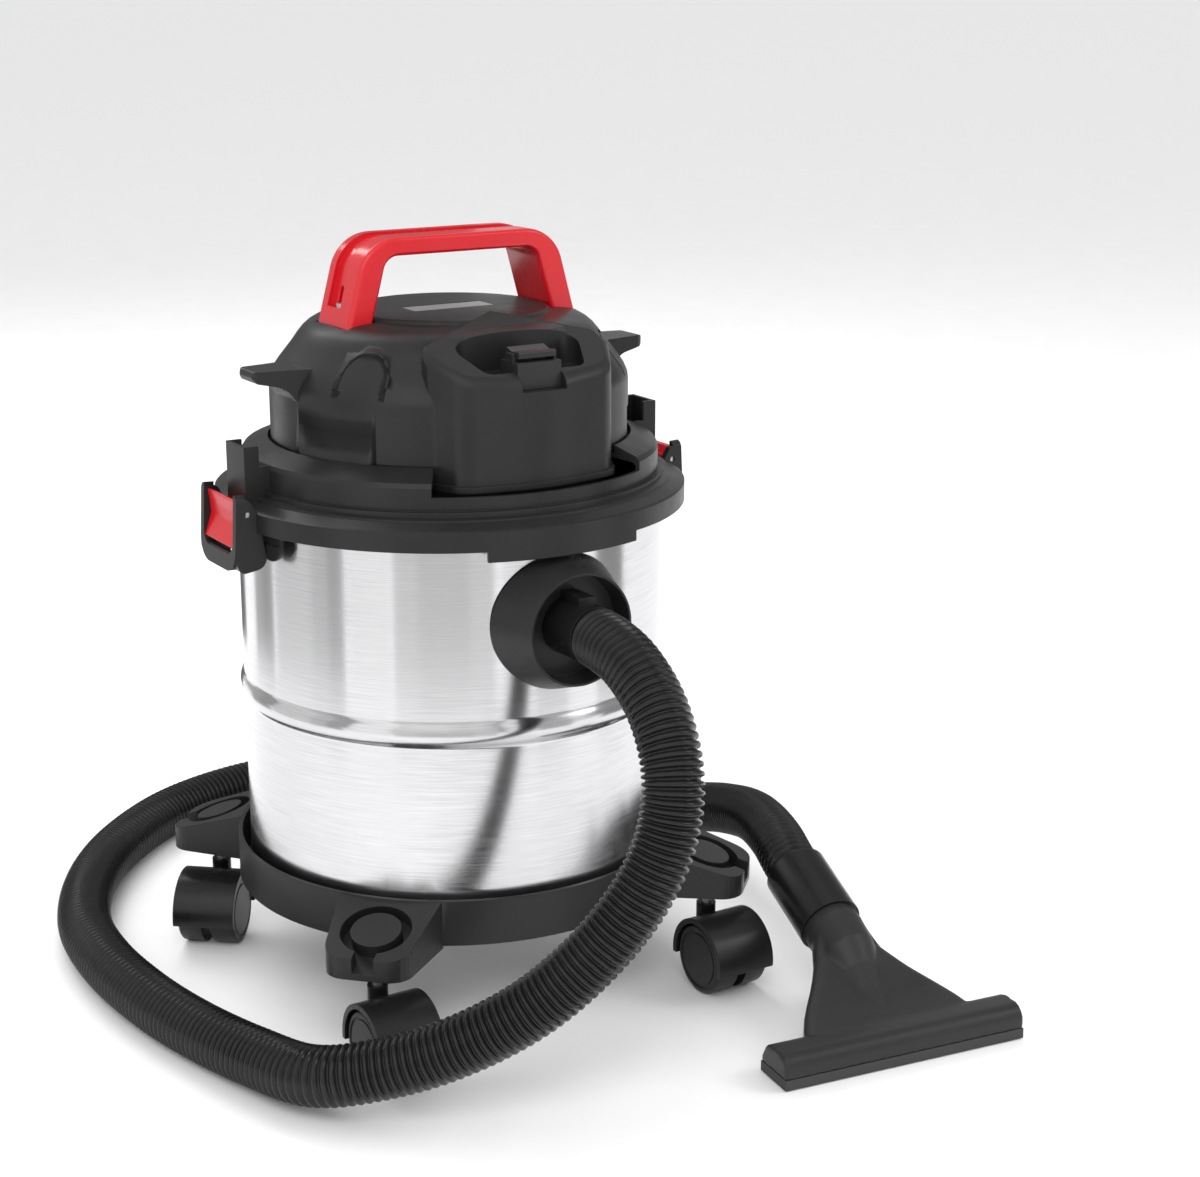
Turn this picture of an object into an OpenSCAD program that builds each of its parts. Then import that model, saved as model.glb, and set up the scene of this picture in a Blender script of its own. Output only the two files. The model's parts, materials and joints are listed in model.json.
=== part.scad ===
// Wet and dry shop vacuum: a steel tank on a four-caster dolly, with a lift-off motor head.
// The front faces -Y, and the origin is on the tank axis at floor level.

/* [Tank] */
// Outer radius of the steel tank
tank_r = 150; // [145:1:185]
// Height of the tank's open rim above the floor
tank_top = 352; // [320:1:430]
// Thickness of the steel sheet
tank_wall = 1.2; // [0.8:0.1:2]
// Radius of the rolled rim
rim_r = 2.5; // [2:0.1:3]
// Height of the middle of the pressed bead
bead_mid = 219.5; // [180:0.5:240]
// How far the bead stands out
bead_rise = 3; // [1:0.5:4]
// Height of the bead
bead_w = 17; // [12:1:24]

/* [Dolly] */
// Height of the dolly's underside above the floor
dolly_base_z = 74; // [70:1:82]
// Thickness of the dolly's floor ring
dolly_floor_t = 4; // [3:0.5:6]
// Height of the dolly's wall
dolly_h = 32; // [26:1:40]
// Thickness of the dolly's wall
dolly_wall = 3; // [2:0.5:5]
// Gap between the tank and the dolly's wall
dolly_gap = 6; // [4:0.5:9]
// Distance of each post from the tank axis
post_d = 187; // [184:1:230]
// Radius of each accessory post
post_r = 17; // [15:0.5:18]
// Width of the groove around each post
groove_w = 7; // [5:0.5:8]
// Depth of that groove
groove_depth = 10; // [6:0.5:11]
// Width of the neck that opens each groove to the nose of its pod
neck_w = 15; // [10:1:18]

/* [Casters] */
// Radius of each caster wheel
wheel_r = 25; // [20:0.5:26]
// Width of one wheel of a pair
wheel_w = 18; // [14:0.5:20]
// Distance from the swivel stem to the axle
trail = 22; // [18:0.5:24]
// Radius of the swivel stem
stem_r = 3.5; // [3:0.1:4]
// Radius of the wheel axle
axle_r = 3; // [2:0.1:3.5]
// Radial clearance of a part that turns on a pin
run_gap = 0.05; // [0.02:0.01:0.1]

/* [Lid] */
// Outer radius of the lid's flange
lid_r = 165; // [164:0.5:190]
// Height of the raised shoulder's top above the flange
shoulder_h = 34; // [28:1:44]
// Inner radius of the raised shoulder
shoulder_in_r = 127; // [124:0.5:130]
// Wall of the moulded plastic parts
shell_wall = 3; // [2.4:0.2:3.4]

/* [Head] */
// Outer radius of the drum of the head cover
drum_r = 125; // [120:0.5:126]
// Height of the drum's straight wall
drum_h = 46; // [44:1:56]
// Radius of the flat top
plateau_r = 68.7; // [60:0.5:72]
// Height of the dome above the drum's straight wall
dome_h = 47; // [46:1:56]
// Distance of the front of the nose from the axis
nose_y = 136; // [133:0.5:138]
// Half the width of the nose where it leaves the drum
nose_half_w = 68; // [60:0.5:72]
// Length of each cord hook from the axis
hook_tip = 153; // [146:0.5:157]
// Bore of the blower port
port_r = 17.5; // [15:0.5:18]

/* [Handle] */
// Half the width of the handle at its feet
handle_half_w = 88.5; // [86:0.5:92]
// Height of the handle above the flat top of the head
handle_h = 52.5; // [46:0.5:70]
// Width of the handle from front to back
handle_depth = 48; // [36:1:52]
// Thickness of the handle's bar
bar_t = 12.5; // [10:0.5:16]

/* [Hose] */
// Outer radius of the corrugated hose
hose_r = 20; // [18:0.5:20]
// Wall between the hose's outside and the cuffs' bores
hose_wall = 4; // [3:0.5:5]
// Height of the inlet's middle above the floor
inlet_z = 293; // [285:1:300]
// Radius of the inlet's cone where it meets the tank
cone_r = 49; // [46:0.5:52]

/* [Hidden] */
$fn = 96;
eps = 0.01;
// Clearance between parts that are pushed or screwed together
fit_gap = 0.1;
// Gap between faces of parts that move past each other
free_gap = 0.3;
// Clearance of a screw in its hole
screw_gap = 0.1;
// An extent that is larger than any part
big = 400;

// Stack of heights, from the floor up
tank_base = dolly_base_z + dolly_floor_t;
seal_t = 5.7;
flange_t = 4;
lid_under = tank_top + free_gap + seal_t;
lid_top = lid_under + flange_t;
skirt_h = 10;
skirt_dip = 7;
dip_half = 20;
floor_t = 3;
deck_top = lid_under + floor_t;
shoulder_top = lid_top + shoulder_h;
nose_step = 16;
cover_base = shoulder_top - 6;
drum_top = cover_base + drum_h;
plateau_z = drum_top + dome_h;
handle_top = plateau_z + handle_h;

// Radii that follow from the tank
ring_in_r = tank_r + dolly_gap;
ring_out_r = ring_in_r + dolly_wall;
ring_top = dolly_base_z + dolly_h;
rim_out_r = tank_r + 2 * rim_r - 0.5;
skirt_in_r = lid_r - 4.5;
step_r = lid_r - 19;

// Pods of the dolly
pod_angles = [45, 135, 225, 315];
pod_slope = 17.24;
pod_root_w = 36;
pod_nose_w = 28;
pod_nose = post_d + 29;
pod_corner = 16;
pod_top = ring_top - 1 - (post_d - ring_out_r + 1) * tan(pod_slope);
stem_top = pod_top - 4;

// Casters
caster_names = ["fl", "fr", "rl", "rr"];
caster_at = [225, 315, 135, 45];
caster_yaw = [-90, -90, 230, 90];
hood_gap = 1.3;
hood_t = 3.7;
hood_in_r = wheel_r + hood_gap;
hood_out_r = hood_in_r + hood_t;
hood_half_w = 23;
web_half_w = 3;
wheel_gap = 0.6;
wheel_in = web_half_w + wheel_gap;
wheel_out = wheel_in + wheel_w;
axle_end = wheel_out - 2;
boss_r = 7;
boss_top = wheel_r + 32;
stem_base = wheel_r + 21.5;
clip_r = 4.1;

// Lid and latches
latch_x = lid_r + 3;
latch_z = lid_top - 1;
latch_half_w = 24;
bracket_in = latch_half_w + 1;
bracket_out = bracket_in + 5;
pin_r = 2;
socket_x = lid_r - 2.5;
socket_half_w = 15;
socket_top = lid_top + 41;

// Head internals
motor_r = 46;
fan_r = 66;
shaft_r = 4;
fan_base = deck_top;
fan_top = fan_base + 37;
motor_base = fan_top + 1;
motor_top = motor_base + 68;
cage_r = 54.5;
cage_h = 96;
cage_base = lid_under - cage_h;
ball_r = 20;
seat_r = 15;
ball_z = cage_base + 2.5 + free_gap + ball_r;

// Inlet, on the front of the tank
inlet_tube_r = hose_r - 0.5;
cone_front = tank_r + 28;
cuff_front = tank_r + 45;
recess_floor = tank_r + 10;
spigot_r = 26;

// Route of the hose, from the inlet cuff to the nozzle cuff
nozzle_cuff_at = [192, -160, 76];
nozzle_neck_at = [184, -212, 56];
hose_route = [
    [0, -cuff_front, inlet_z], [0, -235, 286], [-1, -270, 264], [-5, -293, 230], [-14, -300, 192],
    [-32, -297, 155], [-58, -285, 118], [-90, -266, 84], [-126, -240, 57], [-163, -212, 39],
    [-200, -178, 28], [-218, -120, 22], [-234, -55, 20], [-244, 10, 20], [-246, 80, 20],
    [-236, 150, 20], [-205, 222, 20], [-158, 285, 20], [-92, 338, 20], [-15, 363, 20],
    [60, 358, 20], [125, 330, 20], [178, 285, 20], [217, 230, 20], [241, 170, 22],
    [252, 110, 30], [250, 50, 48], [240, -5, 66], [226, -60, 80], [208, -112, 84],
    nozzle_cuff_at];
hose_sides = 12;
hose_steps = 2;

// Nozzle, in its own frame: the mouth lies along X and the neck runs back along +Y
nozzle_at = [168, -306, 0];
nozzle_turn = -7;
mouth_half_w = 93;
mouth_half_d = 17;
lip_h = 8;

// ---- Helpers ----

// Points of one corner of an outline: q, rounded by r, between its neighbours p and s
function corner(p, q, s, r, n) =
    r == 0 ? [q] :
    let (u = (p - q) / norm(p - q), w = (s - q) / norm(s - q), half = acos(u * w) / 2)
    let (c = q + (u + w) / norm(u + w) * r / sin(half))
    let (a = q + u * r / tan(half) - c, b = q + w * r / tan(half) - c)
    let (a0 = atan2(a.y, a.x), turn = (atan2(b.y, b.x) - a0 + 540) % 360 - 180)
    [for (i = [0:n]) c + r * [cos(a0 + turn * i / n), sin(a0 + turn * i / n)]];

// Outline with each corner rounded by its own radius
function rounded(points, radii, n = 6) =
    let (m = len(points))
    [for (i = [0:m - 1]) each corner(points[(i + m - 1) % m], points[i], points[(i + 1) % m], radii[i], n)];

// Outline and its mirror image across the Y axis, joined end to end
function both_sides(half) =
    [each half, for (i = [len(half) - 1:-1:0]) [-half[i].x, half[i].y]];

// A ring with a square section
module ring(r_in, r_out, z0, z1) {
    rotate_extrude() translate([r_in, z0]) square([r_out - r_in, z1 - z0]);
}

// A rod along Z between two heights
module rod(r, z0, z1) {
    translate([0, 0, z0]) cylinder(r = r, h = z1 - z0);
}

// A box given by its two opposite corners
module block(lo, hi) {
    translate(lo) cube(hi - lo);
}

// Stands a shape drawn along +Z on the front of the tank, pointing along -Y at the inlet
module at_inlet() {
    translate([0, 0, inlet_z]) rotate([90, 0, 0]) children();
}

// Places a shape on one pod, with X pointing outwards
module at_pod(angle) {
    rotate([0, 0, angle]) children();
}

// Places a shape on one caster, with the stem on the axis and X pointing along the trail
module at_caster(i) {
    rotate([0, 0, caster_at[i]]) translate([post_d, 0, 0])
        rotate([0, 0, caster_yaw[i] - caster_at[i]]) children();
}

// Places a shape along a caster's axle, drawn along +Z with its middle at the origin
module on_axle(i) {
    at_caster(i) translate([trail, 0, wheel_r]) rotate([-90, 0, 0]) children();
}

// Mirrors a shape on the right to the left as well
module left_and_right() {
    children();
    mirror([1, 0, 0]) children();
}

// A pan-head screw that points down, with its head's underside at the origin
module screw(shank_r, head_r, head_h, length) {
    rod(head_r, 0, head_h);
    rod(shank_r, -length, eps);
}

// ---- Tank ----

module tank_profile() {
    bead = bead_w / 2;
    fillet = 8;
    bead_r = (bead * bead + bead_rise * bead_rise) / (2 * bead_rise);
    bead_c = tank_r + bead_rise - bead_r;
    difference() {
        union() {
            translate([0, tank_base]) square([tank_r - fillet, fillet]);
            translate([0, tank_base + fillet]) square([tank_r, tank_top - tank_base - fillet - rim_r]);
            translate([tank_r - fillet, tank_base + fillet]) circle(fillet);
            intersection() {
                translate([bead_c, bead_mid]) circle(bead_r);
                translate([tank_r - 2, bead_mid - bead]) square([big, bead_w]);
            }
        }
        union() {
            translate([-eps, tank_base + tank_wall]) square([tank_r - fillet + eps, fillet]);
            translate([-eps, tank_base + fillet]) square([tank_r - tank_wall + eps, big]);
            translate([tank_r - fillet, tank_base + fillet]) circle(fillet - tank_wall);
            intersection() {
                translate([bead_c, bead_mid]) circle(bead_r - tank_wall);
                translate([tank_r - 2 * tank_wall, bead_mid - bead]) square([big, bead_w]);
            }
        }
    }
    translate([tank_r - tank_wall + rim_r, tank_top - rim_r]) circle(rim_r);
}

module tank() {
    color("silver") difference() {
        rotate_extrude() intersection() {
            tank_profile();
            square([big, big * 2]);
        }
        at_inlet() rod(spigot_r + fit_gap, tank_r - 20, tank_r + 20);
        inlet_screw_places() rod(inlet_screw_r + screw_gap, -20, 20);
        dolly_screw_places() rod(dolly_screw_r + screw_gap, -6, 6);
    }
}

// ---- Dolly ----

dolly_screw_r = 2.5;
dolly_screw_d = 110;
dolly_screw_l = 13;
module dolly_screw_places() {
    for (a = [0, 90, 180, 270]) rotate([0, 0, a]) translate([dolly_screw_d, 0, tank_base + tank_wall]) children();
}

// Half-space above the sloping top of a pod, in the pod's frame
module above_pod(depth) {
    translate([post_d, 0, pod_top]) rotate([0, pod_slope, 0])
        block([-100, -100, -depth], [100, 100, 100]);
}

module pod() {
    outline = rounded(
        [[ring_in_r - 2, -pod_root_w], [pod_nose, -pod_nose_w], [pod_nose, pod_nose_w], [ring_in_r - 2, pod_root_w]],
        [0, pod_corner, pod_corner, 0]);
    difference() {
        translate([0, 0, dolly_base_z - 2]) linear_extrude(50) polygon(outline);
        above_pod(0);
    }
}

// Groove around the post of a pod, and the neck that opens it outwards
module pod_groove() {
    translate([post_d, 0, pod_top]) rotate([0, pod_slope, 0]) {
        difference() {
            union() {
                rod(post_r + groove_w, -groove_depth, 20);
                block([0, -neck_w / 2, -groove_depth], [60, neck_w / 2, 20]);
            }
            rod(post_r, -groove_depth - 1, 0);
        }
    }
}

module stem_bore() {
    rod(stem_r + fit_gap, dolly_base_z - 10, stem_top + fit_gap);
    rod(clip_r + fit_gap, stem_top - 6, stem_top - 3);
}

module dolly_base() {
    boss_h = 10;
    color([0.16, 0.16, 0.17]) difference() {
        union() {
            ring(90, ring_out_r, dolly_base_z, tank_base);
            ring(ring_in_r, ring_out_r, dolly_base_z, ring_top);
            for (a = pod_angles) at_pod(a) pod();
            dolly_screw_places() rod(7, -tank_wall - dolly_floor_t - boss_h, -tank_wall - 1);
        }
        rod(ring_in_r, tank_base, tank_base + 60);
        for (a = pod_angles) at_pod(a) {
            pod_groove();
            translate([post_d, 0, 0]) stem_bore();
        }
        dolly_screw_places() rod(dolly_screw_r + screw_gap, -dolly_screw_l - screw_gap, 1);
    }
}

module dolly_screws() {
    color("silver") dolly_screw_places() screw(dolly_screw_r, 5, 2.8, dolly_screw_l);
}

// ---- Casters ----

module caster_stems() {
    color("gainsboro") for (a = pod_angles) at_pod(a) translate([post_d, 0, 0]) {
        rod(stem_r, stem_base, stem_top);
        rod(clip_r, stem_top - 5.5, stem_top - 3.5);
    }
}

module caster_hood(i) {
    color([0.13, 0.13, 0.14]) difference() {
        union() {
            on_axle(i) rod(hood_out_r, -hood_half_w, hood_half_w);
            at_caster(i) rod(boss_r, wheel_r + 5, boss_top);
        }
        on_axle(i) rod(hood_in_r, web_half_w, hood_half_w + 1);
        on_axle(i) rod(hood_in_r, -hood_half_w - 1, -web_half_w);
        on_axle(i) rod(axle_r, -hood_half_w, hood_half_w);
        at_caster(i) block([trail - 60, -60, -wheel_r], [trail + 60, 60, wheel_r - 4]);
        at_caster(i) rod(stem_r + run_gap, stem_base - free_gap, boss_top + 1);
    }
}

module caster_axle(i) {
    color("silver") on_axle(i) rod(axle_r, -axle_end, axle_end);
}

// One wheel of a pair: side is 1 or -1
module wheel(i, side) {
    edge = 2.5;
    color([0.1, 0.1, 0.11]) on_axle(i) mirror([0, 0, side > 0 ? 0 : 1]) difference() {
        union() {
            rod(wheel_r - edge, wheel_in, wheel_out);
            rod(wheel_r, wheel_in, wheel_out - edge);
            rotate_extrude() translate([wheel_r - edge, wheel_out - edge]) circle(edge);
        }
        rod(axle_r + run_gap, wheel_in - 1, axle_end + free_gap);
        ring(wheel_r - 6, wheel_r - 4, wheel_out - 0.8, wheel_out + 1);
    }
}

module caster_hood_fl() { caster_hood(0); }
module caster_hood_fr() { caster_hood(1); }
module caster_hood_rl() { caster_hood(2); }
module caster_hood_rr() { caster_hood(3); }
module caster_axle_fl() { caster_axle(0); }
module caster_axle_fr() { caster_axle(1); }
module caster_axle_rl() { caster_axle(2); }
module caster_axle_rr() { caster_axle(3); }
module wheel_a_fl() { wheel(0, 1); }
module wheel_a_fr() { wheel(1, 1); }
module wheel_a_rl() { wheel(2, 1); }
module wheel_a_rr() { wheel(3, 1); }
module wheel_b_fl() { wheel(0, -1); }
module wheel_b_fr() { wheel(1, -1); }
module wheel_b_rl() { wheel(2, -1); }
module wheel_b_rr() { wheel(3, -1); }

// ---- Inlet ----

gasket_t = 1.5;
inlet_screw_r = 2;
inlet_screw_d = 33;
inlet_screw_head = tank_r - 8;
module inlet_screw_places() {
    at_inlet() for (a = [45, 135, 225, 315]) rotate([0, 0, a]) translate([inlet_screw_d, 0, tank_r]) children();
}

// Cylinder of the tank's outside, a little larger
module tank_core(gap) {
    rod(tank_r + gap, inlet_z - 70, inlet_z + 50);
}

module inlet_flange() {
    lip = 1.5;
    color([0.15, 0.15, 0.16]) difference() {
        union() {
            difference() {
                at_inlet() rotate_extrude() polygon([
                    [0, tank_r - 14], [cone_r, tank_r - 14], [cone_r, tank_r - 6], [cone_r - 11, cone_front],
                    [cone_r - 11 - lip, cone_front], [cone_r - 14, recess_floor], [0, recess_floor]]);
                tank_core(gasket_t);
            }
            at_inlet() rod(spigot_r, tank_r - 22, tank_r + 5);
        }
        at_inlet() rod(inlet_tube_r + fit_gap, tank_r - 30, big);
        inlet_screw_places() rod(inlet_screw_r, -20, 7);
    }
}

module inlet_gasket() {
    color("dimgray") difference() {
        intersection() {
            at_inlet() rod(cone_r - 3, tank_r - 20, tank_r + 10);
            tank_core(gasket_t);
        }
        tank_core(0);
        at_inlet() rod(spigot_r + fit_gap, 0, big);
        inlet_screw_places() rod(inlet_screw_r + screw_gap, -20, 7);
    }
}

module inlet_screws() {
    color("silver") inlet_screw_places() {
        rod(4, -8, -5.5);
        rod(inlet_screw_r, -5.6, 6);
    }
}

module inlet_deflector() {
    back = tank_r - 54;
    color([0.2, 0.2, 0.21]) difference() {
        at_inlet() rod(spigot_r + 5, back, tank_r - 14);
        at_inlet() rod(spigot_r + 2, back + 3, tank_r - 20);
        at_inlet() rod(spigot_r + fit_gap, tank_r - 22 - fit_gap, tank_r);
        block([-40, -tank_r + 26, inlet_z - 40], [40, -back - 3, inlet_z - 12]);
    }
}

// ---- Hose and nozzle ----

module hose_cuff() {
    color([0.12, 0.12, 0.13]) difference() {
        union() {
            at_inlet() rod(inlet_tube_r, tank_r - 24, cuff_front);
            block([-6, -tank_r - 34, inlet_z + 10], [6, -recess_floor - 1, inlet_z + inlet_tube_r + 4]);
        }
        at_inlet() rod(hose_r - hose_wall, tank_r - 30, big);
    }
}

// Point at fraction t between b and c on the smooth curve through a, b, c and d
function glide(a, b, c, d, t) =
    0.5 * (2 * b + (c - a) * t + (2 * a - 5 * b + 4 * c - d) * t * t + (3 * b - a - 3 * c + d) * t * t * t);

function lead_in(p, q) = 2 * p - q;

hose_path =
    let (last = len(hose_route) - 1)
    let (p = [lead_in(hose_route[0], [0, -235, inlet_z]), each hose_route, 2 * nozzle_neck_at - nozzle_cuff_at])
    [for (i = [1:last]) for (k = [0:hose_steps - 1]) glide(p[i - 1], p[i], p[i + 1], p[i + 2], k / hose_steps),
     hose_route[last]];

// Direction of the path at each of its points; the ends follow the cuffs
function heading(path, i) =
    i == 0 ? [0, -1, 0] :
    i == len(path) - 1 ? (nozzle_neck_at - nozzle_cuff_at) / norm(nozzle_neck_at - nozzle_cuff_at) :
    (path[i + 1] - path[i - 1]) / norm(path[i + 1] - path[i - 1]);

// Side vector of each ring, carried along the path so that the rings don't twist
function carried(path, i, side) =
    let (h = heading(path, i), s = side - (side * h) * h)
    s / norm(s);

function sides(path, i, side) =
    i == len(path) ? [] :
    let (s = carried(path, i, side))
    concat([s], sides(path, i + 1, s));

module hose() {
    side = sides(hose_path, 0, [1, 0, 0]);
    count = len(hose_path);
    points = [for (i = [0:count - 1]) let (s = side[i], u = cross(heading(hose_path, i), s))
        for (k = [0:hose_sides - 1]) let (a = k * 360 / hose_sides)
            hose_path[i] + hose_r * (cos(a) * s + sin(a) * u)];
    walls = [for (i = [0:count - 2]) for (k = [0:hose_sides - 1])
        let (a = i * hose_sides, n = (k + 1) % hose_sides)
            [a + k, a + hose_sides + k, a + hose_sides + n, a + n]];
    first = [for (k = [0:hose_sides - 1]) k];
    last = [for (k = [hose_sides - 1:-1:0]) (count - 1) * hose_sides + k];
    color([0.1, 0.1, 0.11]) polyhedron(points, concat(walls, [first], [last]), convexity = 10);
}

// Stands a shape drawn along +Z at a point, pointing to another point
module between(from, to) {
    d = to - from;
    translate(from) rotate([0, acos(d.z / norm(d)), atan2(d.y, d.x)]) children();
}

end_cuff_l = norm(nozzle_neck_at - nozzle_cuff_at);
module hose_end_cuff() {
    wall = 3;
    color([0.14, 0.14, 0.15]) between(nozzle_cuff_at, nozzle_neck_at) difference() {
        rod(hose_r + wall, 0, end_cuff_l);
        rod(hose_r - hose_wall, -1, 13);
        rod(neck_r + fit_gap, 12, end_cuff_l + 1);
    }
}

neck_r = 18.5;
module nozzle_neck(r, from, to) {
    between(nozzle_cuff_at, nozzle_neck_at) rod(r, from, to);
}

module in_nozzle() {
    translate(nozzle_at) rotate([0, 0, nozzle_turn]) children();
}

module nozzle() {
    bell = both_sides([[mouth_half_w, -mouth_half_d], [mouth_half_w, 10], [78, 17], [56, 27], [40, 45], [30, 66], [24, 80]]);
    mouth_gap = 84;
    color([0.16, 0.16, 0.17]) difference() {
        union() {
            in_nozzle() translate([0, 0, lip_h]) linear_extrude(16) polygon(bell);
            nozzle_neck(neck_r, 14, end_cuff_l + 10);
            hull() {
                nozzle_neck(hose_r + 2, end_cuff_l + 4, end_cuff_l + 6);
                in_nozzle() block([-32, 46, lip_h], [32, 62, lip_h + 14]);
                in_nozzle() block([-12, 0, lip_h], [12, 6, lip_h + 17]);
            }
        }
        in_nozzle() block([-mouth_gap, -11, -1], [mouth_gap, 11, lip_h + 11]);
        nozzle_neck(neck_r - 3, 10, end_cuff_l + 50);
        in_nozzle() block([-13, 2, lip_h + 3], [13, 60, lip_h + 13]);
    }
}

module nozzle_lip() {
    color([0.08, 0.08, 0.08]) in_nozzle() difference() {
        block([-mouth_half_w, -mouth_half_d, 1], [mouth_half_w, mouth_half_d, lip_h]);
        block([-84, -11, 0], [84, 11, lip_h + 1]);
        block([-20, mouth_half_d - 8, -1], [20, mouth_half_d + 1, 4]);
    }
}

// ---- Lid ----

module lid() {
    z = lid_top;
    skirt_low = lid_under - skirt_h - skirt_dip;
    cover_ledge = cover_base - 3;
    profile = [
        [38, lid_under], [skirt_in_r, lid_under], [skirt_in_r, skirt_low], [lid_r, skirt_low], [lid_r, z - 1], [lid_r - 1.5, z], [step_r + 9, z + 4],
        [step_r + 9, z + 5], [step_r + 4, z + 6], [step_r + 4, z + 9], [step_r, z + 9], [step_r, z + 24],
        [step_r - 2, z + 27], [shoulder_in_r, shoulder_top], [shoulder_in_r, cover_base],
        [shoulder_in_r - 9, cover_base], [shoulder_in_r - 9, cover_ledge], [shoulder_in_r + 2, cover_ledge],
        [step_r - 5, z + 23], [step_r - 3, z + 21], [step_r - 3, deck_top], [38, deck_top]];
    color([0.15, 0.15, 0.16]) difference() {
        union() {
            difference() {
                union() {
                    rotate_extrude() polygon(profile);
                    left_and_right() for (s = [-1, 1]) rotate([0, 0, s * 12.5]) lid_tab();
                }
                nose_opening();
                rotate([0, 0, -90 + dip_half]) rotate_extrude(angle = 360 - 2 * dip_half)
                    translate([skirt_in_r - 3, skirt_low - 1]) square([10, skirt_dip + 1]);
                left_and_right() block(
                    [socket_x, -bracket_in - 0.5, lid_under - 60], [big, bracket_in + 0.5, lid_top + 4]);
                left_and_right() block(
                    [rim_out_r - 1, -latch_half_w - 0.5, lid_under - 60],
                    [big, latch_half_w + 0.5, lid_under - 0.5]);
            }
            left_and_right() bracket();
            left_and_right() socket();
        }
        left_and_right() translate([latch_x, 0, latch_z]) rotate([90, 0, 0]) rod(pin_r, -40, 40);
        head_screw_places() rod(head_screw_r + screw_gap, -20, 20);
    }
}

// Rounded tongue that hangs beside a latch and centres the lid on the tank
module lid_tab() {
    half_w = 10;
    low = lid_under - 29;
    top = lid_under + 1;
    tongue = rounded([[-half_w, low], [half_w, low], [half_w, top], [-half_w, top]], [9, 9, 0, 0]);
    intersection() {
        ring(rim_out_r + 0.7, rim_out_r + 3.7, low - 1, top + 1);
        translate([tank_r - 20, 0, 0]) rotate([90, 0, 90]) linear_extrude(40) polygon(tongue);
    }
}

// The part of the shoulder that makes way for the nose
module nose_opening() {
    low = lid_top + nose_step + 2;
    half = 33;
    reach = 300;
    translate([0, 0, low]) linear_extrude(60)
        polygon([[0, 0], [-reach * sin(half), -reach * cos(half)], [reach * sin(half), -reach * cos(half)]]);
    translate([0, 0, low]) linear_extrude(60) polygon(nose_outline(-fit_gap));
}

// Frame around the latch lever, moulded with the lid
module bracket() {
    side = rounded(
        [[lid_r - 4, lid_top], [latch_x + 1.5, lid_top + 14], [latch_x + 9.5, lid_top - 32],
         [latch_x + 6, lid_top - 41], [latch_x - 14, lid_top - 38]],
        [0, 3, 5, 5, 8]);
    difference() {
        translate([0, bracket_out, 0]) rotate([90, 0, 0]) linear_extrude(2 * bracket_out) polygon(side);
        block([0, -bracket_in, lid_top - 60], [latch_x + 4.5, bracket_in, lid_top + 30]);
        block([0, -bracket_in, lid_top - 28], [big, bracket_in, lid_top + 30]);
        rod(rim_out_r + 0.7, lid_top - 60, lid_top + 30);
    }
}

// Open-topped accessory socket above the latch
module socket() {
    t = 2.5;
    difference() {
        block([step_r - 6, -socket_half_w, lid_under + 1], [socket_x, socket_half_w, socket_top]);
        block([step_r - 7, -socket_half_w + t, lid_under + flange_t + 2],
              [socket_x - t, socket_half_w - t, socket_top + 1]);
        rod(step_r - 1, deck_top - 1, lid_top + 60);
        translate([step_r + 6, 0, 0]) block([-20, -20, lid_top + 27], [0, 20, lid_top + 60]);
    }
}

head_screw_r = 2;
head_screw_l = 10;
module head_screw_places() {
    for (a = [5, 62, 118, 175, 228, 312]) rotate([0, 0, a])
        translate([shoulder_in_r - 6.5, 0, cover_base - 3]) children();
}

module head_screws() {
    color("silver") head_screw_places() mirror([0, 0, 1]) screw(head_screw_r, 3.6, 2.2, head_screw_l);
}

module lid_seal() {
    color([0.25, 0.25, 0.25]) ring(tank_r - 3, rim_out_r + 0.5, tank_top + free_gap, lid_under);
}

// ---- Head cover ----

dome_a = [drum_r - 16, drum_top + 24];
dome_b = [drum_r - 27, drum_top + 38];
dome_c = [drum_r - 35, drum_top + 42];

// Outside of the head cover without its hooks, moved in by a wall
module cover_body(wall) {
    low = wall > 0 ? cover_base - 1 : cover_base;
    rotate_extrude() polygon([
        [0, low], [drum_r - wall, low], [drum_r - wall, drum_top - wall * 0.3], [dome_a.x - wall * 0.75, dome_a.y - wall * 0.65],
        [dome_b.x - wall * 0.6, dome_b.y - wall * 0.8], [dome_c.x - wall * 0.3, dome_c.y - wall],
        [plateau_r, plateau_z - wall], [0, plateau_z - wall]]);
    nose_body(wall);
}

nose_slope = 26.6;
nose_edge_z = plateau_z - 34;
nose_base = lid_top + nose_step + 2;
// Outline of the nose, moved in by a wall
function nose_outline(wall) =
    let (front = nose_y - wall, half = nose_half_w - wall, tip = 56 - wall, back = 3 * wall)
    rounded(
        [[-half, -90 + back], [-half - 1, -100], [-tip, -front + 11], [0, -front], [tip, -front + 11],
         [half + 1, -100], [half, -90 + back], [0, -60 + back]],
        [0, 0, 20 - wall, 120, 20 - wall, 0, 0, 0]);

module nose_body(wall) {
    low = wall > 0 ? nose_base - 1 : nose_base;
    difference() {
        translate([0, 0, low]) linear_extrude(120) polygon(nose_outline(wall));
        translate([0, -nose_y, nose_edge_z - wall * 1.1]) rotate([nose_slope, 0, 0])
            block([-120, -60, 0], [120, 200, 100]);
    }
}

tray_floor = nose_edge_z + 3;
function tray_outline(grow) = rounded(
    [[-50 - grow, -89 + grow], [-37 - grow, -122 - grow], [37 + grow, -122 - grow], [50 + grow, -89 + grow]],
    [9, 9, 9, 9]);

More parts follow.
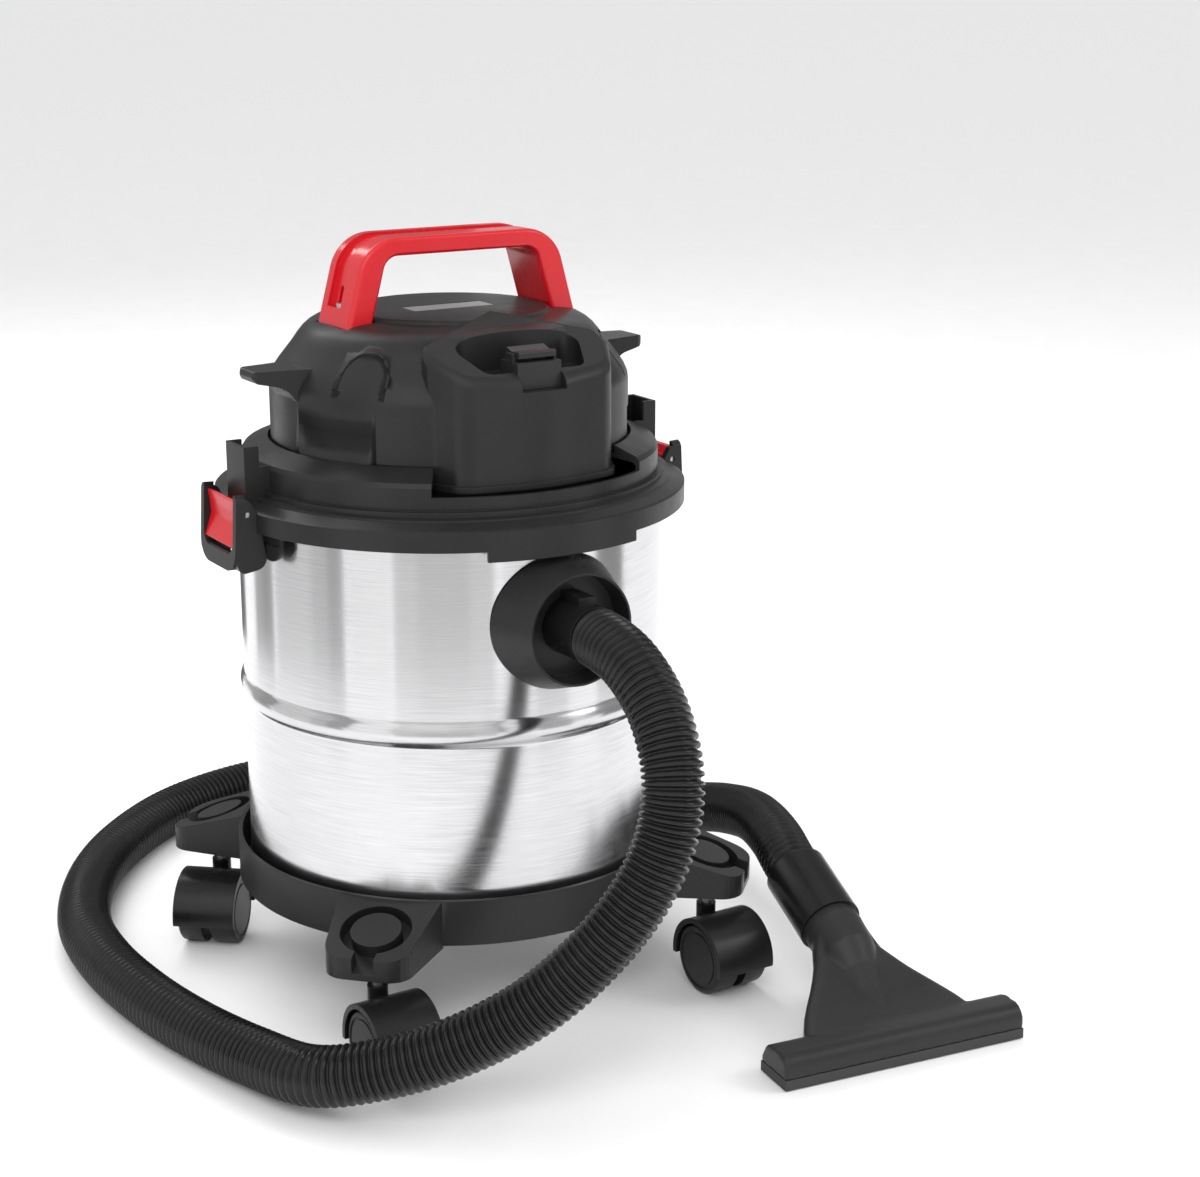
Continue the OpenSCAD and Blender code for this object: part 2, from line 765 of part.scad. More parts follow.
module hook() {
    top = drum_top + 16;
    side = rounded(
        [[drum_r - 16, top], [hook_tip - 2, top], [hook_tip, top - 4], [hook_tip - 3, top - 8], [drum_r + 6, top - 12],
         [drum_r - 3, top - 24], [drum_r - 16, top - 24]],
        [0, 2, 2, 2, 14, 0, 0]);
    plan = rounded(
        [[drum_r - 20, -22], [drum_r + 8, -16], [hook_tip + 1, -13], [hook_tip + 1, 13], [drum_r + 8, 16], [drum_r - 20, 22]],
        [0, 10, 9, 9, 10, 0]);
    intersection() {
        translate([0, 30, 0]) rotate([90, 0, 0]) linear_extrude(60) polygon(side);
        translate([0, 0, top - 40]) linear_extrude(60) polygon(plan);
    }
}

vent_from = 51;
vent_to = 82;
vent_h = 25;
module vent_sector(r_in, r_out, z0, z1, inset) {
    rotate([0, 0, -90 + vent_from + inset]) rotate_extrude(angle = vent_to - vent_from - 2 * inset)
        translate([r_in, z0]) square([r_out - r_in, z1 - z0]);
}

port_z = cover_base + 31;
port_wall = 3;
port_front = drum_r + 15;
gland_z = cover_base + 21;
gland_angle = 130;
module at_gland() {
    rotate([0, 0, gland_angle]) translate([0, 0, gland_z]) rotate([0, 90, 0]) children();
}

module at_port() {
    translate([0, 0, port_z]) rotate([-90, 0, 0]) children();
}

// Where the handle's feet sit, on the right
foot_z = plateau_z - 7;
foot_block_z = plateau_z - 25;
module foot_seat() {
    block([handle_half_w - 24, -handle_depth / 2 - 4, foot_block_z], [handle_half_w + 4, handle_depth / 2 + 4, plateau_z + 5]);
}

// What stands inside the cover: handle seats, screw bosses and the walls of the switch tray
module cover_inside() {
    mid_wall = 1;
    intersection() {
        union() {
            left_and_right() foot_seat();
            head_screw_places() rod(5, 3.5, head_screw_l + 5);
            translate([0, 0, tray_floor - shell_wall]) linear_extrude(60) polygon(tray_outline(shell_wall));
        }
        cover_body(mid_wall);
    }
}

module head_cover() {
    color([0.16, 0.16, 0.17]) difference() {
        union() {
            difference() {
                union() {
                    cover_body(0);
                    left_and_right() hook();
                }
                cover_body(shell_wall);
            }
            cover_inside();
            at_port() rod(port_r + port_wall, drum_r - 15, port_front);
            at_gland() rod(11, drum_r - 12, drum_r + 2);
        }
        translate([0, 0, tray_floor]) linear_extrude(60) polygon(tray_outline(0));
        block([-switch_half_w, -nose_y - 10, tray_floor - 8], [switch_half_w, switch_y + 11.5 + fit_gap, tray_floor + 60]);
        left_and_right() block(
            [handle_half_w - 21, -handle_depth / 2 - fit_gap, foot_z],
            [handle_half_w + 2, handle_depth / 2 + fit_gap, plateau_z + 20]);
        left_and_right() translate([handle_screw_x, 0, 0]) rod(handle_screw_r, foot_z - 15, foot_z + 1);
        left_and_right() vent_sector(drum_r - 9, drum_r + 20, cover_base - 2, cover_base + vent_h, 0);
        at_port() rod(port_r, drum_r - 20, port_front + 1);
        at_gland() rod(8 + fit_gap, drum_r - 20, drum_r + 20);
        head_screw_places() rod(head_screw_r, -1, head_screw_l);
        block([-label_half_w, -label_half_d, plateau_z - label_t], [label_half_w, label_half_d, plateau_z + 1]);
    }
}

module vent_grilles() {
    in_r = drum_r - shell_wall - 3;
    out_r = drum_r - shell_wall - 0.2;
    rows = 4;
    columns = 3;
    pitch = 5.5;
    step = 10.6;
    color([0.08, 0.08, 0.08]) left_and_right() difference() {
        vent_sector(in_r, out_r, cover_base + 1, cover_base + vent_h + 1, -1.5);
        for (row = [0:rows - 1], k = [0:columns - 1])
            rotate([0, 0, -90 + vent_from + k * step + 0.6]) rotate_extrude(angle = step - 1.4)
                translate([in_r - 3, cover_base + 3 + row * pitch]) square([9, pitch - 2]);
    }
}

label_half_w = 31;
label_half_d = 11;
label_t = 1;
module label_plate() {
    color("lightgray") block(
        [-label_half_w + fit_gap, -label_half_d + fit_gap, plateau_z - label_t],
        [label_half_w - fit_gap, label_half_d - fit_gap, plateau_z - 0.2]);
}

module cord_gland() {
    color([0.1, 0.1, 0.1]) at_gland() difference() {
        union() {
            rod(8, drum_r - 14, drum_r + 4);
            rod(10, drum_r + 2, drum_r + 5);
        }
        rod(3.8, drum_r - 20, drum_r + 20);
    }
}

// ---- Handle ----

lean = 0.27;
handle_screw_r = 2.25;
handle_screw_x = handle_half_w - 8.5;
ledge_z = foot_z + 12;

module handle() {
    rise = handle_top - foot_z;
    foot_w = 18.5;
    inner_rise = rise - bar_t;
    top_x = handle_half_w - lean * rise;
    in_x = handle_half_w - foot_w;
    outer = rounded(
        [[handle_half_w, foot_z], [top_x, handle_top], [-top_x, handle_top], [-handle_half_w, foot_z]],
        [0, 30, 30, 0], 12);
    inner = rounded(
        [[in_x, foot_z - 1], [in_x - lean * inner_rise, handle_top - bar_t],
         [-in_x + lean * inner_rise, handle_top - bar_t], [-in_x, foot_z - 1]],
        [0, 9, 9, 0]);
    rib = 2.5;
    shallow = rounded(
        [[handle_half_w - rib, foot_z - 1], [top_x - rib, handle_top - rib],
         [-top_x + rib, handle_top - rib], [-handle_half_w + rib, foot_z - 1]],
        [0, 28, 28, 0], 12);
    color([0.82, 0.05, 0.09]) difference() {
        stand_up(handle_depth / 2, handle_depth / 2) polygon(outer);
        stand_up(handle_depth, handle_depth) polygon(inner);
        difference() {
            stand_up(handle_depth / 2 - 14, handle_depth / 2 - 5) translate([-big, ledge_z]) square([2 * big, big]);
            stand_up(handle_depth, handle_depth) polygon(shallow);
        }
        left_and_right() block([handle_half_w - 14, -6, ledge_z], [big, 6, ledge_z + 14]);
        left_and_right() translate([handle_screw_x, 0, 0]) rod(handle_screw_r + screw_gap, foot_z - 1, ledge_z + 1);
    }
}

// Stands a flat outline up in the XZ plane, from -front to +back along Y
module stand_up(front, back) {
    translate([0, back, 0]) rotate([90, 0, 0]) linear_extrude(front + back) children();
}

module handle_screws() {
    color("silver") left_and_right() translate([handle_screw_x, 0, ledge_z]) screw(handle_screw_r, 4.4, 3, 25);
}

// ---- Switch ----

switch_y = -114;
switch_half_w = 16.5;
switch_base_h = 10;
switch_pivot_z = tray_floor + switch_base_h + 2;
pivot_r = 1.5;
module switch_body() {
    top = tray_floor + switch_base_h;
    color([0.12, 0.12, 0.12]) difference() {
        union() {
            block([-switch_half_w + fit_gap, switch_y - 11.5, tray_floor - 8 + fit_gap], [switch_half_w - fit_gap, switch_y + 11.5, top]);
            left_and_right() block([14.3, switch_y - 5, top - 1], [switch_half_w - fit_gap, switch_y + 5, top + 5.5]);
        }
        translate([0, switch_y, switch_pivot_z]) rotate([0, 90, 0]) rod(pivot_r + run_gap, -30, 30);
    }
}

module switch_rocker() {
    rocker = rounded([[-9, 0], [9, 0], [9, 7], [0, 4], [-9, 5]], [1, 1, 1.5, 8, 1.5]);
    color([0.09, 0.09, 0.09]) translate([0, switch_y, switch_pivot_z]) {
        translate([-14, 0, 0]) rotate([90, 0, 90]) linear_extrude(28) polygon(rocker);
        rotate([0, 90, 0]) rod(pivot_r, -16, 16);
    }
}

// ---- Latches ----

module latch_pins() {
    color("silver") left_and_right() translate([latch_x, 0, latch_z]) rotate([90, 0, 0])
        rod(pin_r, -bracket_out + 1, bracket_out - 1);
}

// Lever drawn on the right, in a frame with its pivot at the origin
module latch() {
    lever = rounded(
        [[2, 8], [5.5, 9], [3.5, -8], [8.5, -23], [5.5, -24.5], [0.5, -9], [-3, 0]],
        [0.8, 1, 12, 1, 1, 6, 1.2]);
    hook_z = tank_top - 2 * rim_r - free_gap - latch_z;
    hook_x = rim_out_r + 0.5 - latch_x;
    color([0.85, 0.06, 0.1]) translate([latch_x, 0, latch_z]) difference() {
        union() {
            stand_up(latch_half_w, latch_half_w) polygon(lever);
            rotate([90, 0, 0]) rod(3, -latch_half_w, latch_half_w);
            stand_up(16, 16) polygon([[hook_x, hook_z], [hook_x, hook_z - 2.5], [3, hook_z - 5], [3, hook_z]]);
        }
        rotate([90, 0, 0]) rod(pin_r + run_gap, -30, 30);
    }
}

module latch_right() { latch(); }
module latch_left() { mirror([1, 0, 0]) latch(); }

// ---- Motor, fan and filter ----

module fan_housing() {
    t = 2.5;
    inlet_r = 20;
    color("gray") difference() {
        rod(fan_r, fan_base, fan_top);
        rod(fan_r - t, fan_base + t, fan_top - t);
        rod(inlet_r, fan_base - 1, fan_base + t + 1);
        rod(12, fan_top - t - 1, fan_top + 1);
        for (a = [0:45:315]) rotate([0, 0, a]) block([fan_r - 8, -14, fan_base + 10], [fan_r + 5, 14, fan_top - 6]);
    }
}

module impeller() {
    out_r = 56;
    low = fan_base + 7;
    high = fan_top - 8;
    color("gainsboro") difference() {
        union() {
            ring(22, out_r, low, low + 1.2);
            rod(out_r, high - 1.5, high);
            rod(9, high - 12, high + 4);
            for (a = [0:45:315]) rotate([0, 0, a]) translate([23, 0, 0]) rotate([0, 0, 35])
                block([0, -0.7, low + 0.5], [34, 0.7, high - 0.5]);
        }
        rod(shaft_r, low - 5, high + 10);
        difference() {
            rod(out_r + 20, low - 1, high + 1);
            rod(out_r, low - 2, high + 2);
        }
    }
}

bearing_r = 11;
bearing_h = 7;
module bearing_places() {
    translate([0, 0, motor_base + 3]) children();
    translate([0, 0, motor_top - 3 - bearing_h]) children();
}

module motor_housing() {
    t = 2.5;
    color("slategray") difference() {
        rod(motor_r, motor_base, motor_top);
        rod(motor_r - t, motor_base + 12, motor_top - 12);
        rod(shaft_r + 2, motor_base - 1, motor_top + 1);
        bearing_places() rod(bearing_r, 0, bearing_h);
        rod(bearing_r, motor_base + 3, motor_base + 12.5);
        rod(bearing_r, motor_top - 12.5, motor_top - 3);
        for (a = [0:60:300]) rotate([0, 0, a]) translate([28, 0, 0]) rod(8, motor_base - 1, motor_top + 1);
    }
}

module motor_bearings() {
    color("silver") bearing_places() ring(shaft_r + run_gap, bearing_r, 0, bearing_h);
}

core_low = motor_base + 16;
core_high = motor_top - 26;
module motor_stator() {
    color("peru") ring(30, motor_r - 2.5, core_low, core_high);
}

module armature() {
    color("darkgoldenrod") difference() {
        ring(shaft_r, 29, core_low, core_high);
        for (a = [0:30:330]) rotate([0, 0, a]) block([24, -1.2, core_low - 1], [31, 1.2, core_high + 1]);
    }
}

module commutator() {
    color("orange") ring(shaft_r, 12, core_high + 2, core_high + 11);
}

module motor_brushes() {
    color("black") for (s = [-1, 1]) block(
        [s > 0 ? 12 + free_gap : -motor_r + 3.2, -3, core_high + 3],
        [s > 0 ? motor_r - 3.2 : -12 - free_gap, 3, core_high + 10]);
}

module rotor_shaft() {
    color("lightgray") rod(shaft_r, fan_base + 12, motor_top + 10);
}

module cooling_fan() {
    low = motor_top + 3;
    color("whitesmoke") difference() {
        union() {
            rod(36, low, low + 1.2);
            rod(8, low, low + 6);
            for (a = [0:36:324]) rotate([0, 0, a]) block([7, -0.6, low + 0.5], [35, 0.6, low + 5]);
        }
        rod(shaft_r, low - 1, low + 10);
    }
}

module sound_foam() {
    color([0.3, 0.3, 0.32]) ring(92, 110, deck_top, deck_top + 56);
}

module float_cage() {
    t = 2.5;
    color([0.2, 0.35, 0.6]) difference() {
        rod(cage_r, cage_base, lid_under);
        rod(cage_r - t, cage_base + t, lid_under - 4);
        rod(seat_r, lid_under - 5, lid_under + 1);
        for (a = [0:45:135]) rotate([0, 0, a]) block([-cage_r - 1, -9, cage_base + 12], [cage_r + 1, 9, lid_under - 16]);
        for (a = [0:60:300]) rotate([0, 0, a]) translate([34, 0, 0]) rod(8, cage_base - 1, cage_base + t + 1);
    }
}

module float_ball() {
    color("orangered") translate([0, 0, ball_z]) sphere(ball_r);
}

filter_r = 74;
module filter() {
    color([0.25, 0.26, 0.28]) ring(cage_r + 0.5, filter_r, cage_base + 4, lid_under - 2);
}

module filter_band() {
    color([0.05, 0.05, 0.05]) ring(filter_r + 0.1, filter_r + 3, lid_under - 16, lid_under - 8);
}

tank();
dolly_base();
dolly_screws();
inlet_flange();
inlet_gasket();
inlet_deflector();
inlet_screws();
caster_stems();
hose_cuff();
hose();
hose_end_cuff();
nozzle();
nozzle_lip();
caster_hood_fl();
caster_hood_fr();
caster_hood_rl();
caster_hood_rr();
caster_axle_fl();
caster_axle_fr();
caster_axle_rl();
caster_axle_rr();
wheel_a_fl();
wheel_a_fr();
wheel_a_rl();
wheel_a_rr();
wheel_b_fl();
wheel_b_fr();
wheel_b_rl();
wheel_b_rr();
lid();
lid_seal();
head_cover();
head_screws();
handle();
handle_screws();
label_plate();
vent_grilles();
cord_gland();
switch_body();
switch_rocker();
latch_pins();
latch_left();
latch_right();
motor_housing();
motor_stator();
motor_bearings();
motor_brushes();
fan_housing();
rotor_shaft();
armature();
commutator();
impeller();
cooling_fan();
sound_foam();
float_cage();
float_ball();
filter();
filter_band();
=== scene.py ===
"""A wet and dry shop vacuum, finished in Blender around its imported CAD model. All sizes are in metres."""

import json
import math

import bmesh
import bpy
from mathutils import Matrix, Vector


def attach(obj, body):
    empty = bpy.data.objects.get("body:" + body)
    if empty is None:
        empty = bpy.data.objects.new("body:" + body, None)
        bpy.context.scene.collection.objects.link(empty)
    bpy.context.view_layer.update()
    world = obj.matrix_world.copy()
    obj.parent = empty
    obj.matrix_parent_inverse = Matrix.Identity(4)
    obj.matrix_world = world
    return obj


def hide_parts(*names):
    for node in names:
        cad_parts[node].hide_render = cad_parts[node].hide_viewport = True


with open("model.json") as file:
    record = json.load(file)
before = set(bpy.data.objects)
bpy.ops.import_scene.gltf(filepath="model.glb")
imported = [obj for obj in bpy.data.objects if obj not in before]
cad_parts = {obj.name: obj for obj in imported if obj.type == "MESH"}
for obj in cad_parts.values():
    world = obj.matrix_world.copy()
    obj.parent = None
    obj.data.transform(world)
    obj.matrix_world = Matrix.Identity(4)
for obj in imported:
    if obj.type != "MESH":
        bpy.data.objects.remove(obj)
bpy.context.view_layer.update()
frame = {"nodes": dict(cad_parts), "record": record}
nodes = frame["nodes"]

MM = 0.001


# ---- Camera, floor and light ----

def place_camera():
    data = bpy.data.cameras.new("camera")
    data.sensor_fit = "HORIZONTAL"
    data.sensor_width = 36
    data.lens = 68.9
    camera = bpy.data.objects.new("camera", data)
    bpy.context.scene.collection.objects.link(camera)
    camera.location = (-0.7465, -1.4039, 0.714)
    forward = Vector((0.5083, 0.8198, -0.2639))
    camera.rotation_euler = forward.to_track_quat("-Z", "Y").to_euler()
    bpy.context.scene.camera = camera


def light_studio():
    """Soft boxes overhead and at the sides, and a pale surround with darker screens that the steel reflects."""
    bpy.context.scene.view_settings.view_transform = "Standard"
    boxes = [
        # place, size, power, colour
        ((-1.5, -1.9, 2.3), 1.5, 42, (1.0, 0.99, 0.97)),
        ((2.1, -1.5, 1.9), 1.2, 22, (0.97, 0.98, 1.0)),
        ((0.1, 1.9, 2.2), 1.6, 34, (1.0, 1.0, 1.0)),
    ]
    for index, (place, size, power, colour) in enumerate(boxes):
        data = bpy.data.lights.new(f"soft_box_{index}", "AREA")
        data.shape = "SQUARE"
        data.size = size
        data.energy = power
        data.color = colour
        lamp = bpy.data.objects.new(f"soft_box_{index}", data)
        lamp.location = place
        lamp.rotation_euler = (Vector((0, 0, 0.25)) - Vector(place)).to_track_quat("-Z", "Y").to_euler()
        bpy.context.scene.collection.objects.link(lamp)

    world = bpy.data.worlds.new("studio")
    bpy.context.scene.world = world
    world.use_nodes = True
    tree = world.node_tree
    tree.nodes.clear()
    add, join = tree.nodes.new, tree.links.new
    output = add("ShaderNodeOutputWorld")
    mix = add("ShaderNodeMixShader")
    seen = add("ShaderNodeBackground")
    seen.inputs["Color"].default_value = (0.96, 0.96, 0.965, 1)
    seen.inputs["Strength"].default_value = 1.0
    surround = add("ShaderNodeBackground")
    surround.inputs["Strength"].default_value = 0.95
    path = add("ShaderNodeLightPath")
    place = add("ShaderNodeTexCoord")
    split = add("ShaderNodeSeparateXYZ")
    turn = add("ShaderNodeMath")
    turn.operation = "ARCTAN2"
    fraction = add("ShaderNodeMapRange")
    fraction.inputs["From Min"].default_value = -math.pi
    fraction.inputs["From Max"].default_value = math.pi
    screens = add("ShaderNodeValToRGB")
    screens.color_ramp.interpolation = "B_SPLINE"
    bands = [
        # fraction of a turn from -X through -Y, brightness
        (0.0, 0.1), (0.05, 0.9), (0.09, 0.95), (0.12, 0.08), (0.15, 0.12), (0.17, 1.0), (0.215, 1.1),
        (0.24, 0.3), (0.258, 0.04), (0.28, 0.5), (0.31, 1.1), (0.37, 1.1), (0.4, 0.1), (0.43, 0.05),
        (0.47, 0.9), (0.52, 0.2), (0.56, 0.05), (0.62, 0.9), (0.72, 0.15), (0.8, 0.8), (0.88, 0.1), (0.94, 0.7), (1.0, 0.1),
    ]
    ramp = screens.color_ramp.elements
    while len(ramp) < len(bands):
        ramp.new(0.5)
    for element, (position, bright) in zip(ramp, bands):
        element.position = position
        element.color = (bright, bright, bright, 1)
    join(place.outputs["Generated"], split.inputs[0])
    join(split.outputs["Y"], turn.inputs[0])
    join(split.outputs["X"], turn.inputs[1])
    join(turn.outputs[0], fraction.inputs["Value"])
    join(fraction.outputs[0], screens.inputs["Fac"])
    join(screens.outputs["Color"], surround.inputs["Color"])
    join(path.outputs["Is Glossy Ray"], mix.inputs[0])
    join(seen.outputs[0], mix.inputs[1])
    join(surround.outputs[0], mix.inputs[2])
    join(mix.outputs[0], output.inputs["Surface"])


def stand_screens():
    """Tall cards that only gloss sees. They put soft upright bands into the steel."""
    cards = [
        # first and last angle round the object in degrees, brightness
        (60, 100, 0.15), (118, 128, 0.5), (128, 138, 0.4), (141, 168, 0.8), (168, 178, 0.65), (178, 187, 0.45),
        (190, 211, 1.15), (213, 225, 0.78), (225, 250, 0.68), (250, 262, 0.78), (266, 276, 1.1), (282, 300, 0.55),
        (318, 338, 0.3),
    ]
    for index, (first, last, bright) in enumerate(cards):
        bm = part_ring(0.90, 0.905, 0.001, 1.9, first, last - first, 8)
        card = mesh_object(f"reflected_card_{index}", bm)
        card.visible_camera = card.visible_diffuse = card.visible_shadow = card.visible_transmission = False
        material = bpy.data.materials.new(f"card_{index}")
        material.use_nodes = True
        shader = material.node_tree.nodes["Principled BSDF"]
        shader.inputs["Base Color"].default_value = (0, 0, 0, 1)
        shader.inputs["Specular IOR Level"].default_value = 0
        shader.inputs["Emission Color"].default_value = (bright, bright, bright, 1)
        shader.inputs["Emission Strength"].default_value = 1
        card.data.materials.append(material)


def lay_floor():
    bm = bmesh.new()
    bmesh.ops.create_circle(bm, cap_ends=True, segments=96, radius=70)
    floor = mesh_object("floor", bm)
    floor.data.materials.append(floor_paper())


# ---- Making meshes ----

def mesh_object(name, bm, crease=32):
    """Turns a bmesh into an object with smooth faces, and sharp edges where it folds by more than crease degrees."""
    mesh = bpy.data.meshes.new(name)
    bm.to_mesh(mesh)
    bm.free()
    for face in mesh.polygons:
        face.use_smooth = True
    mesh.set_sharp_from_angle(angle=math.radians(crease))
    thing = bpy.data.objects.new(name, mesh)
    bpy.context.scene.collection.objects.link(thing)
    return thing


def piece(name, bm, material, body, stands_for, crease=32):
    """A finished piece that rides on a body and stands for CAD nodes."""
    bmesh.ops.remove_doubles(bm, verts=bm.verts, dist=1e-6)
    bmesh.ops.recalc_face_normals(bm, faces=bm.faces)
    thing = mesh_object(name, bm, crease)
    thing.data.materials.append(material)
    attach(thing, body)
    if stands_for:
        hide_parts(*stands_for)
    even = thing.modifiers.new("even shading", "WEIGHTED_NORMAL")
    even.keep_sharp = True
    return thing


def turned(profile, steps=96, closed=True):
    """A bmesh turned about Z from (radius, height) points."""
    bm = bmesh.new()
    points = [bm.verts.new((r, 0, z)) for r, z in profile]
    pairs = list(zip(points, points[1:]))
    if closed:
        pairs.append((points[-1], points[0]))
    edges = [bm.edges.new(pair) for pair in pairs]
    bmesh.ops.spin(
        bm, geom=points + edges, cent=(0, 0, 0), axis=(0, 0, 1), angle=math.tau,
        steps=steps, use_merge=True, use_duplicate=False)
    bmesh.ops.remove_doubles(bm, verts=bm.verts, dist=1e-6)
    bmesh.ops.dissolve_degenerate(bm, edges=bm.edges, dist=1e-7)
    bmesh.ops.recalc_face_normals(bm, faces=bm.faces)
    return bm


def drawn_up(outline, low, high):
    """A bmesh of a flat outline, drawn up from one height to another."""
    bm = bmesh.new()
    face = bm.faces.new([bm.verts.new((x, y, low)) for x, y in outline])
    drawn = bmesh.ops.extrude_face_region(bm, geom=[face])["geom"]
    bmesh.ops.translate(bm, verts=[v for v in drawn if isinstance(v, bmesh.types.BMVert)], vec=(0, 0, high - low))
    bmesh.ops.recalc_face_normals(bm, faces=bm.faces)
    return bm


def block(low, high):
    """A bmesh of a box between two corners."""
    bm = bmesh.new()
    low, high = Vector(low), Vector(high)
    bmesh.ops.create_cube(bm, size=1, matrix=Matrix.Translation((low + high) / 2) @ Matrix.Diagonal((*(high - low), 1)))
    return bm


def rod(radius, low, high, place=Matrix(), sides=64):
    """A bmesh of a cylinder along the Z axis of a place, between two heights."""
    bm = bmesh.new()
    middle = Matrix.Translation((0, 0, (low + high) / 2))
    bmesh.ops.create_cone(
        bm, cap_ends=True, segments=sides, radius1=radius, radius2=radius, depth=high - low, matrix=place @ middle)
    return bm


def combine(base, *steps):
    """Joins, cuts or keeps the overlap of bmeshes in turn: each step is (operation, bmesh)."""
    body = mesh_object("working_body", base)
    for operation, tool in steps:
        other = mesh_object("working_tool", tool)
        change = body.modifiers.new("change", "BOOLEAN")
        change.operation = operation
        change.object = other
        change.solver = "EXACT"
        view = bpy.context.evaluated_depsgraph_get()
        made = bpy.data.meshes.new_from_object(body.evaluated_get(view))
        body.modifiers.clear()
        body.data = made
        bpy.data.objects.remove(other)
    bm = bmesh.new()
    bm.from_mesh(body.data)
    bpy.data.objects.remove(body)
    return bm


def arc(centre, radius, start, end, steps):
    """(radius, height) points along an arc, with angles in degrees."""
    angles = [math.radians(start + (end - start) * i / steps) for i in range(steps + 1)]
    return [(centre[0] + radius * math.cos(a), centre[1] + radius * math.sin(a)) for a in angles]


# ---- Materials ----

def new_group(name, inputs, outputs):
    group = bpy.data.node_groups.new(name, "ShaderNodeTree")
    for label, kind, value in inputs:
        socket = group.interface.new_socket(label, in_out="INPUT", socket_type=kind)
        socket.default_value = value
    for label, kind in outputs:
        group.interface.new_socket(label, in_out="OUTPUT", socket_type=kind)
    return group, group.nodes.new("NodeGroupInput"), group.nodes.new("NodeGroupOutput")


def moulding_group():
    """Spark-eroded grain, slow changes in gloss, and a little dust on what faces up."""
    group, given, result = new_group(
        "moulded_surface",
        [("Grain Scale", "NodeSocketFloat", 900), ("Grain Depth", "NodeSocketFloat", 0.2),
         ("Gloss Low", "NodeSocketFloat", 0.3), ("Gloss High", "NodeSocketFloat", 0.5),
         ("Colour", "NodeSocketColor", (0.02, 0.02, 0.02, 1)),
         ("Worn Colour", "NodeSocketColor", (0.04, 0.04, 0.04, 1)),
         ("Dust", "NodeSocketFloat", 0.1), ("Edge Radius", "NodeSocketFloat", 0.0008)],
        [("Colour", "NodeSocketColor"), ("Roughness", "NodeSocketFloat"), ("Normal", "NodeSocketVector")])
    add, join = group.nodes.new, group.links.new
    place = add("ShaderNodeTexCoord")
    grain = add("ShaderNodeTexNoise")
    grain.inputs["Detail"].default_value = 2
    bump = add("ShaderNodeBump")
    bump.inputs["Distance"].default_value = 0.0002
    edge = add("ShaderNodeBevel")
    edge.samples = 4
    join(given.outputs["Edge Radius"], edge.inputs["Radius"])
    join(edge.outputs["Normal"], bump.inputs["Normal"])
    flow = add("ShaderNodeTexNoise")
    flow.inputs["Scale"].default_value = 13
    flow.inputs["Detail"].default_value = 4
    flow.inputs["Roughness"].default_value = 0.65
    gloss = add("ShaderNodeMapRange")
    gloss.inputs["From Min"].default_value = 0.35
    gloss.inputs["From Max"].default_value = 0.65
    tint = add("ShaderNodeMix")
    tint.data_type = "RGBA"
    facing = add("ShaderNodeNewGeometry")
    upward = add("ShaderNodeSeparateXYZ")
    speck = add("ShaderNodeTexNoise")
    speck.inputs["Scale"].default_value = 240
    speck.inputs["Detail"].default_value = 5
    settle = add("ShaderNodeMath")
    settle.operation = "MULTIPLY"
    settle.use_clamp = True
    amount = add("ShaderNodeMath")
    amount.operation = "MULTIPLY"
    dusty = add("ShaderNodeMix")
    dusty.data_type = "RGBA"
    dusty.inputs[7].default_value = (0.32, 0.31, 0.29, 1)
    join(place.outputs["Object"], grain.inputs["Vector"])
    join(given.outputs["Grain Scale"], grain.inputs["Scale"])
    join(grain.outputs["Fac"], bump.inputs["Height"])
    join(given.outputs["Grain Depth"], bump.inputs["Strength"])
    join(place.outputs["Object"], flow.inputs["Vector"])
    join(flow.outputs["Fac"], gloss.inputs["Value"])
    join(given.outputs["Gloss Low"], gloss.inputs["To Min"])
    join(given.outputs["Gloss High"], gloss.inputs["To Max"])
    join(flow.outputs["Fac"], tint.inputs[0])
    join(given.outputs["Colour"], tint.inputs[6])
    join(given.outputs["Worn Colour"], tint.inputs[7])
    join(place.outputs["Object"], speck.inputs["Vector"])
    join(facing.outputs["Normal"], upward.inputs[0])
    join(upward.outputs["Z"], settle.inputs[0])
    join(speck.outputs["Fac"], settle.inputs[1])
    join(settle.outputs[0], amount.inputs[0])
    join(given.outputs["Dust"], amount.inputs[1])
    join(amount.outputs[0], dusty.inputs[0])
    join(tint.outputs[2], dusty.inputs[6])
    join(dusty.outputs[2], result.inputs["Colour"])
    join(gloss.outputs[0], result.inputs["Roughness"])
    join(bump.outputs["Normal"], result.inputs["Normal"])
    return group


